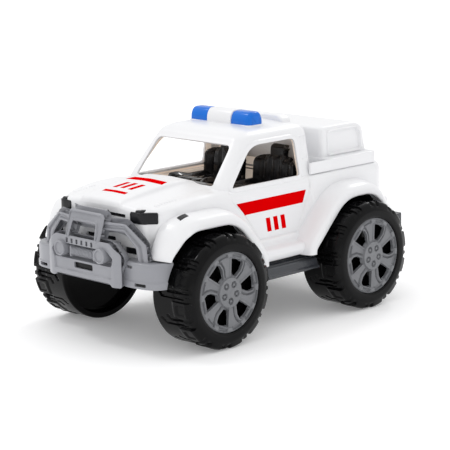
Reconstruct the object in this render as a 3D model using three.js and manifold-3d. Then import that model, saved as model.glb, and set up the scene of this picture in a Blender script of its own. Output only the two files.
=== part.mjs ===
// Off-road toy car in moulded plastic: a white body shell and clip-on canopy on a dark chassis pan,
// a grey front bumper with bull bar, open windows over two black seats, and four wheels on two steel axles.
import * as THREE from 'three';
import { mergeVertices } from 'three/addons/utils/BufferGeometryUtils.js';
import Module from 'manifold-3d';

const wasm = await Module();
wasm.setup();

// Driving dimensions in millimetres. +X is forward, +Y is the car's left, +Z is up.
// A rise is a height above the wheel axles; a lead or setback is a distance along X from an axle.
const wheelbase = 208;
const bumperReach = 28.5;
const rearReach = 80;
const overTyres = 226;
const fit = 0.3;
const wall = 2.2;

// Wheels and axles
const tyreRadius = 56;
const tyreWidth = 46;
const innerDish = 10;
const innerRim = 5.5;
const sidewallRadius = 47.5;
const shoulderRadius = 53.5;
const shoulderWidth = 9;
const wheelSides = 24;
const lugCount = 12;
const lugGapWidth = 6;
const lugGapDepth = 3.4;
const lugLength = 15;
const dishSlope = 0.8;
const rimRadius = 38.6;
const rimThickness = 9;
const rimInset = 1.5;
const rimLip = 4.5;
const rimDish = 1.8;
const spokeCount = 6;
const windowInner = 17;
const windowOuter = 31.5;
const windowInnerWidth = 6;
const windowOuterWidth = 15;
const windowCorner = { run: 4, draw: 3 };
const windowTurn = 18;
const hubRadius = 15;
const hubNutCount = 5;
const hubNutCircle = 8.4;
const hubNutRadius = 2.3;
const hubNutHeight = 0.9;
const wheelHubRadius = 8;
const axleRadius = 2.5;
const axleClearance = 0.4;

// Body shell
const noseGap = 3.5;
const cowlSetback = 38;
const cabRearLead = 38;
const tailSetback = 56;
const bodyBottomRise = 11;
const beltRise = 87;
const doorHalf = 75.5;
const bedHalf = 77;
const shoulderRound = 7;
const valleyHalf = 50;
const domeFootHalf = 31;
const domeEdgeHalf = 24.5;
const doorRecess = 1;
const roofRise = 141;
const cabCorner = 10;
const windowRimWidth = 4;
const windowRimRaise = 1.1;
const quarterRecess = 1;
const archGap = 5;
const flareHalf = 100;
const rockerHalf = 92;
const screwPostRadius = 4.5;
const screwPostHalf = 30;
const screwPostLead = 32;

// Chassis pan, axle keepers and screws
const floorThickness = 4.6;
const linerThickness = 1.6;
const linerGap = 0.6;
const linerClearance = 9;
const carrierWidth = 10;
const carrierHalfLength = 16;
const carrierDrop = 6;
const keeperThickness = 4;
const keeperScrewLead = 11;
const screwRadius = 1.5;
const screwHeadRadius = 3;
const screwHeadHeight = 1.8;
const screwLength = 11;

// Front bumper
const lampStand = 4;
const plateDepth = 14;
const plateHalf = 53.5;
const plateTopRise = 50.5;
const plateRecessDepth = 6;
const lampRadius = 7.2;
const lampSpan = 59;
const lampRise = 38;
const slotCount = 7;
const slotPitch = 7;
const slotWidth = 2.6;
const drumHalf = 17;
const drumRadius = 4;
const drumRise = 36;
const drumSink = 1;
const finCount = 4;
const finWidth = 2;
const hoopHalf = 25.5;
const hoopTopRise = 76;
const hoopDepth = 8.5;
const hoopLean = 0.26;
const barWidth = 19;
const barDepth = 7;
const barSetback = 8;
const barGroove = 2.2;
const barSweep = 0.19;
const wingHalf = 96;
const wingTyreGap = 4;
const bumperPadHalf = 45;
const wingTopRise = 34;
const wingBottomRise = 10;

// Rear bumper, side steps, canopy, beacons and cab fittings
const rearBumperHalf = 91;
const rearBumperTopRise = 31.5;
const rearBumperBottomRise = 9;
const rearBumperRim = 3;
const tailBlockHalf = 78;
const tailBlockTopRise = 48;
const stepHalf = 95;
const stepRibCount = 3;
const stepRibPitch = 5;
const stepRibWidth = 1.6;
const stepRibDepth = 1.2;
const stepDrop = 0.7;
const stepTyreGap = { front: 18, rear: 6 };
const canopyTopRise = 129;
const canopyDeckRise = 98.5;
const canopyHalf = 62;
const canopyTopHalf = 58;
const canopyFrontLead = 15.7;
const canopyRearSetback = 53.7;
const canopyRecess = 1.2;
const railHalf = 73.5;
const railWidth = 2.7;
const railLead = 46.7;
const beaconSetback = 100;
const beaconDepth = 22;
const beaconHeight = 13;
const beaconInner = 16;
const beaconOuter = 43.5;
const beaconRound = 5;
const beaconSeatRise = 141.5;
const bridgeHeight = 9.5;
const lensWall = 1.8;
const tubGap = 7.3;
const tubEndGap = 6;
const tubWallRise = 82;
const tubRibWidth = 3;
const tubRibInset = 11;
const tunnelHalf = 7.5;
const seatGap = 2.3;
const seatLead = 24;
const seatBackRise = 103;
const headrestRise = 115;
const headrestWidth = 20;
const seatRibPitch = 10;
const seatRibWidth = 1.8;
const cabFloorRise = 48;
const cabFloorThickness = 3;
const dashRise = 88;
const dashGap = 8;
const dashDepth = 20;

// Worked out from the sizes above
const noseLead = tyreRadius + noseGap;
const frontReach = noseLead + bumperReach;
const bodyLength = frontReach + wheelbase + rearReach;
const frontAxleX = bodyLength / 2 - frontReach;
const rearAxleX = frontAxleX - wheelbase;
const axleX = { front: frontAxleX, rear: rearAxleX };
const axleZ = tyreRadius;
const archRise = tyreRadius + archGap;
const tyreFace = overTyres / 2;
const tyreInner = tyreFace - tyreWidth;
const linerHalf = tyreInner - linerClearance;
const noseX = frontAxleX + noseLead;
const cowlX = frontAxleX - cowlSetback;
const cabRearX = rearAxleX + cabRearLead;
const tailX = rearAxleX - tailSetback;
const bodyBottom = axleZ + bodyBottomRise;
const beltZ = axleZ + beltRise;
const floorTop = bodyBottom - fit;
const floorBottom = floorTop - floorThickness;
const plateFrontX = frontAxleX + frontReach - lampStand;
const plateBackX = plateFrontX - plateDepth;
const wingTop = axleZ + wingTopRise;
const tubHalf = doorHalf - wall - tubGap;
const tubInner = tubHalf - wall;
const seatOuter = tubInner - seatGap;
const seatCentre = (tunnelHalf + seatOuter) / 2;
const over = 1;
const through = 400;

// Solid helpers
function toSolid(geometry) {
  const bare = geometry.clone();
  bare.deleteAttribute('normal');
  bare.deleteAttribute('uv');
  const merged = mergeVertices(bare, 1e-4);
  const mesh = new wasm.Mesh({
    numProp: 3,
    vertProperties: new Float32Array(merged.attributes.position.array),
    triVerts: new Uint32Array(merged.index.array),
  });
  mesh.merge();
  return new wasm.Manifold(mesh);
}

function toGeometry(solid) {
  const mesh = solid.getMesh();
  const geometry = new THREE.BufferGeometry();
  geometry.setAttribute('position', new THREE.BufferAttribute(new Float32Array(mesh.vertProperties), 3));
  geometry.setIndex(new THREE.BufferAttribute(new Uint32Array(mesh.triVerts), 1));
  return geometry;
}

function join(...solids) {
  return solids.reduce((sum, solid) => sum.add(solid));
}

function cut(solid, ...tools) {
  return tools.reduce((rest, tool) => rest.subtract(tool), solid);
}

// The same solid on the other side of the car's middle plane.
function mirrored(solid) {
  const geometry = toGeometry(solid);
  const position = geometry.attributes.position;
  for (let i = 0; i < position.count; i += 1) position.setY(i, -position.getY(i));
  const index = geometry.index.array;
  for (let i = 0; i < index.length; i += 3) [index[i], index[i + 1]] = [index[i + 1], index[i]];
  return toSolid(geometry);
}

function bothSides(solid) {
  return join(solid, mirrored(solid));
}

// A closed outline through the points, each corner eased by its radius (one radius, or one per point).
function outline(points, radius = 0, holes = []) {
  const shape = new THREE.Shape();
  points.forEach((point, i) => {
    const corner = new THREE.Vector2(...point);
    const before = new THREE.Vector2(...points[(i + points.length - 1) % points.length]);
    const after = new THREE.Vector2(...points[(i + 1) % points.length]);
    const wanted = Array.isArray(radius) ? radius[i] : radius;
    const reach = Math.min(wanted, corner.distanceTo(before) * 0.45, corner.distanceTo(after) * 0.45);
    const start = corner.clone().add(before.sub(corner).setLength(reach));
    const end = corner.clone().add(after.sub(corner).setLength(reach));
    if (i === 0) shape.moveTo(start.x, start.y);
    else shape.lineTo(start.x, start.y);
    if (wanted > 0) shape.quadraticCurveTo(corner.x, corner.y, end.x, end.y);
  });
  shape.closePath();
  shape.holes.push(...holes);
  return shape;
}

function rectangle(x0, x1, y0, y1) {
  return [[x0, y0], [x1, y0], [x1, y1], [x0, y1]];
}

// The points mirrored about the first axis and joined to themselves, for a symmetric outline.
function symmetric(points) {
  const other = points.map(([u, v]) => [-u, v]).reverse();
  return [...points, ...other];
}

// An outline carried from one level to another, with its rims eased by the bevel.
function extrude(shape, from, to, bevel = 0, curveSegments = 2, bevelSegments = 1) {
  const geometry = new THREE.ExtrudeGeometry(shape, {
    depth: to - from - 2 * bevel,
    curveSegments,
    bevelEnabled: bevel > 0,
    bevelThickness: bevel,
    bevelSize: bevel,
    bevelOffset: -bevel,
    bevelSegments,
  });
  return geometry.translate(0, 0, from + bevel);
}

const turnToX = new THREE.Matrix4().makeBasis(
  new THREE.Vector3(0, 1, 0), new THREE.Vector3(0, 0, 1), new THREE.Vector3(1, 0, 0));
const turnToY = new THREE.Matrix4().makeBasis(
  new THREE.Vector3(1, 0, 0), new THREE.Vector3(0, 0, 1), new THREE.Vector3(0, -1, 0));

// Outlines drawn in (y, z), (x, z) and (x, y), carried along X, Y and Z.
function alongX(shape, from, to, ...ease) {
  return toSolid(extrude(shape, from, to, ...ease).applyMatrix4(turnToX));
}

function alongY(shape, from, to, ...ease) {
  return toSolid(extrude(shape, -to, -from, ...ease).applyMatrix4(turnToY));
}

function alongZ(shape, from, to, ...ease) {
  return toSolid(extrude(shape, from, to, ...ease));
}

function box(x0, x1, y0, y1, z0, z1) {
  const geometry = new THREE.BoxGeometry(x1 - x0, y1 - y0, z1 - z0);
  return toSolid(geometry.translate((x0 + x1) / 2, (y0 + y1) / 2, (z0 + z1) / 2));
}

// Round bars along X, Y and Z.
function rodX(radius, y, z, x0, x1, sides = 16) {
  const geometry = new THREE.CylinderGeometry(radius, radius, x1 - x0, sides).rotateZ(Math.PI / 2);
  return toSolid(geometry.translate((x0 + x1) / 2, y, z));
}

function rodY(radius, x, z, y0, y1, sides = 16) {
  const geometry = new THREE.CylinderGeometry(radius, radius, y1 - y0, sides);
  return toSolid(geometry.translate(x, (y0 + y1) / 2, z));
}

function rodZ(radius, x, y, z0, z1, sides = 10) {
  const geometry = new THREE.CylinderGeometry(radius, radius, z1 - z0, sides).rotateX(Math.PI / 2);
  return toSolid(geometry.translate(x, y, (z0 + z1) / 2));
}

// A profile of (radius, y) points turned about the Y axis, with a flat of that radius at the bottom.
function turned(profile, sides) {
  const reach = 1 / Math.cos(Math.PI / sides);
  const points = profile.map(([radius, y]) => new THREE.Vector2(radius * reach, y));
  return toSolid(new THREE.LatheGeometry(points, sides, Math.PI / sides));
}

// The solid with every point pushed along X by a share of its distance past a level of Y or Z.
function swept(solid, axis, share, level) {
  const geometry = toGeometry(solid);
  const position = geometry.attributes.position;
  for (let i = 0; i < position.count; i += 1) {
    position.setX(i, position.getX(i) + share * (position.getComponent(i, axis) - level));
  }
  return toSolid(geometry);
}

// A skin through rings of equal count, closed at both ends by a fan on the ring's middle.
function loft(rings) {
  const count = rings[0].length;
  const vertices = [];
  const faces = [];
  rings.forEach((ring) => ring.forEach((point) => vertices.push(point.x, point.y, point.z)));
  for (let r = 0; r + 1 < rings.length; r += 1) {
    for (let i = 0; i < count; i += 1) {
      const a = r * count + i;
      const b = r * count + (i + 1) % count;
      faces.push(a, b, b + count, a, b + count, a + count);
    }
  }
  [0, rings.length - 1].forEach((r) => {
    const middle = rings[r].reduce((sum, point) => sum.add(point), new THREE.Vector3()).divideScalar(count);
    const hub = vertices.length / 3;
    vertices.push(middle.x, middle.y, middle.z);
    for (let i = 0; i < count; i += 1) {
      const a = r * count + i;
      const b = r * count + (i + 1) % count;
      if (r === 0) faces.push(hub, b, a);
      else faces.push(hub, a, b);
    }
  });
  const geometry = new THREE.BufferGeometry();
  geometry.setAttribute('position', new THREE.Float32BufferAttribute(vertices, 3));
  geometry.setIndex(faces);
  return toSolid(geometry);
}

// Lower body: cross-sections from the nose to the tail, each a half width and the rises of the fender
// shoulder, the valley beside the hood, the foot and edge of the hood's raised dome, and its crown.
const noseToCowl = noseLead + cowlSetback;
const hoodSections = [
  { setback: 0, half: 54, rises: [77, 78, 79, 80, 80.5] },
  { setback: 5.5, half: 62, rises: [79.5, 83, 84.5, 87.6, 88.6] },
  { setback: 13, half: 69.5, rises: [81, 84, 85.4, 88.8, 90.4] },
  { setback: 35, half: 77, rises: [84.5, 85, 87, 90.4, 92] },
  { setback: 63, half: 77.5, rises: [87.6, 86, 89.2, 92, 93.6] },
  { setback: noseToCowl - 14, half: 77, rises: [88, 86.6, 90, 92.2, 93.4] },
  { setback: noseToCowl, half: 76, rises: [86.5, 88.6, 90.4, 91, 91.4] },
];

function bodySection(x, half, rises, inset) {
  const [shoulder, valley, foot, edge, crown] = rises.map((rise) => axleZ + rise - inset);
  const side = half - inset;
  const round = shoulderRound;
  const bottom = bodyBottom - (inset > 0 ? wall : 0);
  const left = [
    [side, bottom],
    [side, shoulder - round],
    [side - round * 0.25, shoulder - round * 0.3],
    [side - round, shoulder],
    [Math.min(valleyHalf, side - round - 1), valley],
    [domeFootHalf, foot],
    [domeEdgeHalf, edge],
  ];
  const right = left.map(([y, z]) => [-y, z]);
  return [...right, [0, crown], ...left.reverse()].map(([y, z]) => new THREE.Vector3(x, y, z));
}

function lowerBody(inset) {
  const flat = Array(5).fill(beltRise);
  const stations = [
    ...hoodSections.map(({ setback, half, rises }) => ({ x: noseX - setback, half, rises })),
    { x: cowlX - 7, half: doorHalf, rises: flat },
    { x: cabRearX + 12, half: doorHalf, rises: flat },
    { x: cabRearX + 8, half: bedHalf, rises: flat },
    { x: tailX + 8, half: bedHalf, rises: flat },
    { x: tailX, half: bedHalf - 4, rises: flat },
  ];
  const last = stations.length - 1;
  return loft(stations.map(({ x, half, rises }, i) => {
    const ends = (i === 0 ? -inset : 0) + (i === last ? inset : 0);
    return bodySection(x + ends, half, rises, inset);
  }));
}

// Cab: level slices from below the belt to the crown of the roof.
const cabSlices = [
  { rise: beltRise - 4, front: 34, rear: 0, half: 71.5 },
  { rise: beltRise + 4, front: 38.2, rear: 0, half: 69.4 },
  { rise: roofRise - 15, front: 65, rear: 2, half: 61.6 },
  { rise: roofRise - 9.5, front: 69.5, rear: 4, half: 58.6 },
  { rise: roofRise - 5, front: 79, rear: 8, half: 51.5 },
  { rise: roofRise - 1.7, front: 92, rear: 16, half: 39 },
  { rise: roofRise, front: 108, rear: 28, half: 20 },
];
const cornerSteps = 2;

function cabRing(slice, inset) {
  const top = slice.rise > beltRise ? inset : 0;
  const z = axleZ + slice.rise - top;
  const x1 = frontAxleX - slice.front - inset * 1.4;
  const x0 = cabRearX + slice.rear + inset;
  const half = slice.half - inset;
  const round = Math.min(cabCorner, half * 0.6);
  const corners = [[x1, half, 0], [x0, half, 1], [x0, -half, 2], [x1, -half, 3]];
  return corners.flatMap(([x, y, quarter]) => {
    const cx = x - Math.sign(x - (x0 + x1) / 2) * round;
    const cy = y - Math.sign(y) * round;
    return Array.from({ length: cornerSteps + 1 }, (unused, step) => {
      const angle = (quarter + step / cornerSteps) * Math.PI / 2;
      return new THREE.Vector3(cx + round * Math.cos(angle), cy + round * Math.sin(angle), z);
    });
  });
}

function cab(inset) {
  return loft(cabSlices.map((slice) => cabRing(slice, inset)));
}

// Side window, windscreen and door outlines
const windowBottom = beltZ + 0.5;
const windowTop = axleZ + roofRise - 19.5;
const windowRear = cabRearX + 24;
const windowFrontLow = cowlX - 10.5;
const windowFrontHigh = cowlX - 42;

function windowOutline(grow) {
  return outline([
    [windowRear - grow, windowBottom - grow],
    [windowFrontLow + grow * 1.7, windowBottom - grow],
    [windowFrontHigh + grow * 0.8, windowTop + grow],
    [windowRear - grow, windowTop + grow],
  ], [3 + grow, 3 + grow, 12 + grow, 5 + grow]);
}

const windscreenBottom = beltZ + 5;
const windscreenTop = axleZ + roofRise - 16;
const windscreenOutline = outline([
  [-56, windscreenBottom], [56, windscreenBottom], [51.5, windscreenTop], [-51.5, windscreenTop],
], [3, 3, 7, 7]);

const doorBottom = bodyBottom + 20;
const doorOutline = outline([
  [rearAxleX + 68, doorBottom],
  [frontAxleX - 84, doorBottom],
  [frontAxleX - 58, beltZ - 21],
  [frontAxleX - 46, beltZ - 13],
  [frontAxleX - 41, beltZ],
  [rearAxleX + 48, beltZ],
  [rearAxleX + 49, beltZ - 16],
], [3, 3, 8, 8, 0, 0, 4]);

// Wheel arches, drawn about an axle in (x, z) from the rear foot to the front one, clear of the tyre.
// Each point has the width of the flare's band there, and the flare draws in where it runs to the bumpers.
const archDrop = 40;
const archEase = 10;
const archLine = {
  front: [[-(tyreRadius + 7), 19], [-27, archRise], [34, archRise], [tyreRadius - 3, wingTopRise + 2]],
  rear: [[-(tyreRadius + 3), 12], [-(tyreRadius - 13), tyreRadius - 15], [-20, archRise], [22, archRise],
    [tyreRadius + 11, 15]],
};
const flareBand = { front: [10, 11, 11, 5], rear: [5, 8, 11, 11, 10] };
const flareLean = { front: 8, rear: 5 };
const flareLeanStart = 34;

function archOutline(end, grow, ease) {
  const line = archLine[end];
  const last = line.length - 1;
  const moved = line.map(([x, z], i) => {
    if (i === 0) return [x - grow[i], z];
    if (i === last) return [x + grow[i], z];
    const along = new THREE.Vector2(...line[i + 1]).sub(new THREE.Vector2(...line[i - 1])).normalize();
    return [x - along.y * grow[i], z + along.x * grow[i]];
  });
  const points = [[moved[0][0], -archDrop], ...moved, [moved[last][0], -archDrop]];
  const placed = points.map(([x, z]) => [axleX[end] + x, axleZ + z]);
  return outline(placed, [0, ...moved.map(() => ease), 0]);
}

function evenArch(end, grow, ease) {
  return archOutline(end, archLine[end].map(() => grow), ease);
}

const flareRims = [
  { level: bedHalf - 20, spread: 3 },
  { level: flareHalf - 6, spread: 0 },
  { level: flareHalf - 1.5, spread: -1.2 },
  { level: flareHalf, spread: -3.5 },
];

function flare(end, inset) {
  const outward = end === 'front' ? 1 : -1;
  const rims = inset > 0 ? [flareRims[0], flareRims[1], flareRims[3]] : flareRims;
  const rings = rims.map(({ level, spread }) => {
    const grow = flareBand[end].map((band) => band + spread - inset);
    const lean = level > bedHalf ? flareLean[end] : 0;
    return archOutline(end, grow, archEase).getPoints(inset > 0 ? 1 : 2).map(({ x, y }) => {
      const past = Math.max(0, outward * (x - axleX[end]) - flareLeanStart);
      const side = level > bedHalf ? level - inset : level;
      return new THREE.Vector3(x, side - lean * past / (tyreRadius - flareLeanStart), y);
    });
  });
  return loft(rings);
}

// The room that a tyre needs in the body: its arch, and the corner behind the bumper's wing.
function wheelRoom(end) {
  return alongY(evenArch(end, 0, archEase), flareHalf - 20, through);
}

const frontCorner = box(frontAxleX, frontAxleX + tyreRadius + 2.5, linerHalf, through, 0, wingTop + 1.5);

function rocker(inset) {
  const side = rockerHalf - inset;
  const bottom = bodyBottom - (inset > 0 ? wall : 0);
  const shape = outline([
    [doorHalf - 15, bottom],
    [side - 3, bottom],
    [side, bodyBottom + 7],
    [side - 3, bodyBottom + 12.5 - inset],
    [doorHalf + 3 - inset, bodyBottom + 13.5 - inset],
    [doorHalf + 1.5 - inset, doorBottom - inset],
    [doorHalf - 15, doorBottom - inset],
  ], [0, 2, 3, 2, 0, 0, 0]);
  return alongX(shape, rearAxleX + tyreRadius + 4, frontAxleX - tyreRadius - 4);
}

// At the corners the flares stop above the bumpers, and elsewhere at the body's bottom.
const flareTrim = join(
  box(-through, through, -through, through, -through, bodyBottom),
  box(frontAxleX + 40, through, -through, through, -through, wingTop + 1.5),
  box(-through, rearAxleX - 40, -through, through, -through, axleZ + rearBumperTopRise + 1.5),
);

const tailBlock = alongZ(outline(rectangle(tailX - 15, tailX + 12, -tailBlockHalf, tailBlockHalf), 6),
  axleZ + rearBumperTopRise + 2 * fit, axleZ + tailBlockTopRise, 3);

// Raised lip across the rear of the roof
const roofLip = alongX(outline(symmetric([
  [48, axleZ + roofRise - 16], [45, axleZ + roofRise + 2], [36, axleZ + roofRise + 5],
]).reverse(), 3), cabRearX + 9, cabRearX + 22, 1.5);

const headlight = { inner: 40, outer: 90, depth: 12, bottom: 67.5, top: 78.5, proud: 0.5 };

function headlightBlock(grow) {
  const { inner, outer, depth, bottom, top } = headlight;
  const shape = outline(rectangle(inner - grow, outer, axleZ + bottom - grow, axleZ + top + grow));
  return alongX(shape, noseX - depth - grow, noseX + depth);
}

// Indicators lie on top of the front flares, a little inside the middle of their reach past the body.
const indicator = { lead: 23.5, length: 11, width: 6, skew: 1.5, inset: 5, proud: 0.4 };
const indicatorMiddle = (bedHalf + flareHalf) / 2 - indicator.inset;

function indicatorBlock(grow) {
  const x0 = frontAxleX + indicator.lead - grow;
  const x1 = x0 + indicator.length + 2 * grow;
  const inner = indicatorMiddle - indicator.width / 2 - grow;
  const outer = indicatorMiddle + indicator.width / 2 + grow;
  const plan = outline([
    [x0, inner], [x1 - indicator.skew, inner], [x1, outer], [x0 + indicator.skew, outer],
  ]);
  return alongZ(plan, axleZ + tyreRadius, beltZ);
}

const grilleHalf = 36;
const grilleSlots = [
  { low: 71.2, high: 74.6 },
  { low: 50, high: 54 },
];
const fasciaVent = { inner: 33, outer: 50, low: 35.5, high: 42 };

function fasciaCuts() {
  const x0 = noseX - 2 * wall;
  const x1 = noseX + wall;
  const slots = grilleSlots.map(({ low, high }) => (
    alongX(outline(rectangle(-grilleHalf, grilleHalf, axleZ + low, axleZ + high)), x0, x1)));
  const { inner, outer, low, high } = fasciaVent;
  const vent = alongX(outline(rectangle(inner, outer, axleZ + low, axleZ + high)), x0, x1);
  return join(...slots, bothSides(vent));
}

// Posts inside the shell that take the screws from below the floor
const screwPlaces = [frontAxleX + screwPostLead, rearAxleX - screwPostLead];
const pilotRadius = screwRadius + fit;

function screwPosts() {
  const posts = screwPlaces.map((x) => cut(
    rodZ(screwPostRadius, x, screwPostHalf, bodyBottom, axleZ + roofRise, 8),
    rodZ(pilotRadius, x, screwPostHalf, bodyBottom - 1, bodyBottom + screwLength, 6),
  ));
  return bothSides(join(...posts)).intersect(lowerBody(wall / 2));
}

function quarterPanel() {
  const x0 = cabRearX + 5;
  const shape = outline([
    [x0, beltZ + 13], [x0 + 12, beltZ + 13], [x0 + 12, windowTop + 1.5], [x0 + 3, windowTop + 1.5],
  ], 2);
  return alongY(shape, -through, through).subtract(cab(quarterRecess));
}

function bodyShell() {
  const outer = cut(join(flare('front', 0), flare('rear', 0), rocker(0)), flareTrim);
  const hollow = join(flare('front', wall), flare('rear', wall), rocker(wall));
  const rim = cab(-windowRimRaise).intersect(alongY(windowOutline(windowRimWidth), -through, through));
  const shell = join(lowerBody(0), cab(0), bothSides(outer), tailBlock, roofLip, rim);
  const doors = alongY(doorOutline, -through, through);
  const doorSkin = doorHalf - doorRecess;
  const opened = cut(shell,
    lowerBody(wall),
    cab(wall),
    bothSides(join(hollow, wheelRoom('front'), wheelRoom('rear'), frontCorner)),
    alongY(windowOutline(0), -through, through),
    alongX(windscreenOutline, cowlX - 50, cowlX + 2),
    quarterPanel(),
    doors.subtract(box(-through, through, -doorSkin, doorSkin, 0, through)),
    bothSides(join(headlightBlock(fit), indicatorBlock(fit))),
    fasciaCuts(),
  );
  return opened.add(screwPosts());
}

// Pieces let into the skin of the shell
function headlightPiece() {
  return headlightBlock(0).intersect(lowerBody(-headlight.proud)).subtract(lowerBody(wall));
}

function indicatorPiece() {
  return indicatorBlock(0).intersect(flare('front', -indicator.proud)).subtract(flare('front', wall));
}

// Dark plate behind the slots and vents of the fascia
function grilleInsert() {
  const x1 = noseX - wall - fit;
  const shape = outline(symmetric([
    [fasciaVent.outer + 2, axleZ + fasciaVent.low - 3],
    [fasciaVent.outer + 2, axleZ + grilleSlots[1].high + 6],
    [grilleHalf + 5, axleZ + grilleSlots[0].high + 0.8],
  ]));
  return alongX(shape, x1 - 2, x1);
}

// Canopy over the bed: a side profile with a cut-back rear corner, tapered sides and eased front corners.
const canopyFrontX = rearAxleX + canopyFrontLead;
const canopyRearX = rearAxleX - canopyRearSetback;
const canopyTop = axleZ + canopyTopRise;
const canopyDeck = axleZ + canopyDeckRise;
const canopyFoot = beltZ + fit;

function canopyBox(inset) {
  const front = canopyFrontX - inset;
  const rear = canopyRearX + inset;
  const top = canopyTop - inset;
  const bottom = canopyFoot - (inset > 0 ? wall : 0);
  const side = alongY(outline([
    [rear, bottom], [front, bottom], [front - 3, top], [rear + 15.9, top], [rear + 8, top - 6],
    [rear + 1.5, top - 22],
  ], [0, 0, 5, 3, 3, 0]), -through, through);
  const end = alongX(outline(symmetric([
    [canopyHalf - inset, bottom], [canopyTopHalf - inset, top],
  ]), [0, 6, 6, 0]), rear - wall, front + wall);
  const plan = alongZ(outline(rectangle(rear, front, -canopyHalf, canopyHalf), [4, 8, 8, 4]), 0, through);
  return side.intersect(end).intersect(plan);
}

// The deck around the canopy's foot, whose rails run forward beside the cab.
function canopyDeckPlate(inset) {
  const rear = canopyRearX + 1.4 + inset;
  const bottom = canopyFoot - (inset > 0 ? wall : 0);
  const front = rearAxleX + railLead - inset;
  const half = railHalf - inset;
  const inner = railHalf - railWidth;
  const shape = inset > 0
    ? outline(rectangle(rear, canopyFrontX - inset, -half, half), 3)
    : outline([
      [rear, -half], [front, -half], [front, -inner], [canopyFrontX, -inner], [canopyFrontX, inner],
      [front, inner], [front, half], [rear, half],
    ], [4, 1, 1, 0, 0, 1, 1, 4]);
  return alongZ(shape, bottom, canopyDeck - inset);
}

function rearCanopy() {
  const panel = alongY(outline([
    [canopyRearX + 12.4, canopyDeck + 3], [canopyFrontX - 9, canopyDeck + 3],
    [canopyFrontX - 10.5, canopyTop - 6], [canopyRearX + 19, canopyTop - 6],
    [canopyRearX + 13.5, canopyTop - 11],
  ], 2), -through, through).subtract(canopyBox(canopyRecess));
  const solid = cut(join(canopyBox(0), canopyDeckPlate(0)), canopyBox(wall), canopyDeckPlate(wall));
  return solid.subtract(panel);
}

// Light bar on the roof: plinth and bridge, with a hollow lens on each side
const beaconFrontX = frontAxleX - beaconSetback;
const beaconRearX = beaconFrontX - beaconDepth;
const beaconSeat = axleZ + beaconSeatRise;
const plinthRim = 1;
const plinthDepth = 12;
const plinthHalf = beaconOuter + plinthRim;
const lensEase = 2.5;

function lightbarBase() {
  const plan = rectangle(beaconRearX - plinthRim, beaconFrontX + plinthRim, -plinthHalf, plinthHalf);
  const plinth = alongZ(outline(plan, beaconRound), beaconSeat - plinthDepth, beaconSeat);
  const bridgeHalf = beaconInner - fit;
  const bridge = alongX(outline(symmetric([
    [bridgeHalf, beaconSeat - over], [bridgeHalf, beaconSeat + bridgeHeight],
  ]), [0, 2, 2, 0]), beaconRearX + plinthRim, beaconFrontX - plinthRim, 1.5);
  return join(plinth, bridge).subtract(cab(-fit));
}

function beaconLens() {
  const foot = beaconSeat + fit;
  const top = beaconSeat + beaconHeight;
  const plan = (inset) => (
    rectangle(beaconRearX + inset, beaconFrontX - inset, beaconInner + inset, beaconOuter - inset));
  const skin = (inset) => (
    alongZ(outline(plan(inset), beaconRound), foot - beaconRound, top - inset, lensEase));
  return cut(skin(0), skin(lensWall), box(-through, through, -through, through, 0, foot));
}

// Chassis pan: floor, wheel-arch liners and the carriers that hang over the axles
const carrierOuter = linerHalf - 1;
const carrierInner = carrierOuter - carrierWidth;
const carrierBottom = axleZ - carrierDrop;
const keeperTop = carrierBottom - fit;
const keeperBottom = keeperTop - keeperThickness;
const slotRadius = axleRadius + axleClearance;
const floorEnds = { front: noseX - wall, rear: tailX - 1.5 };
const waist = { front: frontAxleX - tyreRadius - 12, rear: rearAxleX + tyreRadius + 15 };
const waistHalf = doorHalf + 0.5;
const bumperTongueHalf = 40;
const keeperScrewPlaces = [1, -1].map((way) => (
  [way * keeperScrewLead, way * (carrierInner + carrierOuter) / 2]));

function archLiner(end) {
  const inner = evenArch(end, linerGap, archEase);
  const outer = evenArch(end, linerGap + linerThickness, archEase);
  const web = linerHalf + linerThickness;
  const rearStop = axleZ + rearBumperTopRise + 2;
  return cut(
    alongY(outer, linerHalf, flareHalf - flareLean.front - wall - 4, 0, 1),
    alongY(inner, web, through, 0, 1),
    box(-through, through, -through, through, -through, floorBottom),
    box(frontAxleX + 40, through, web, through, -through, wingTop + 2),
    box(-through, rearAxleX - tyreRadius - 1, 0, through, -through, rearStop),
    box(-through, rearAxleX - 40, web, through, -through, rearStop),
    box(-through, through, waistHalf, through, -through, bodyBottom),
  );
}

function axleCarrier(end) {
  const x = axleX[end];
  const block = box(x - carrierHalfLength, x + carrierHalfLength,
    carrierInner, carrierOuter, carrierBottom, floorTop);
  return cut(block,
    rodY(slotRadius, x, axleZ, 0, through, 8),
    box(x - slotRadius, x + slotRadius, 0, through, 0, axleZ),
  );
}

function chassisPan() {
  const narrow = linerHalf + linerThickness / 2;
  const floor = alongZ(outline([
    ...rectangle(floorEnds.rear, waist.rear, -narrow, narrow).slice(0, 2),
    [waist.rear, -waistHalf], [waist.front, -waistHalf], [waist.front, -narrow],
    [floorEnds.front, -narrow], [floorEnds.front, -bumperTongueHalf],
    [plateBackX, -bumperTongueHalf], [plateBackX, bumperTongueHalf],
    [floorEnds.front, bumperTongueHalf], [floorEnds.front, narrow],
    [waist.front, narrow], [waist.front, waistHalf], [waist.rear, waistHalf], [waist.rear, narrow],
    [floorEnds.rear, narrow],
  ]), floorBottom, floorTop);
  const side = join(archLiner('front'), archLiner('rear'), axleCarrier('front'), axleCarrier('rear'));
  const bodyHoles = screwPlaces.map((x) => rodZ(pilotRadius, x, screwPostHalf, 0, through, 6));
  const keeperHoles = Object.values(axleX).flatMap((x) => keeperScrewPlaces.map(([lead, y]) => (
    rodZ(pilotRadius, x + lead, y, 0, carrierBottom + screwLength, 6))));
  return cut(join(floor, bothSides(side)), bothSides(join(...bodyHoles)), ...keeperHoles);
}

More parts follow.
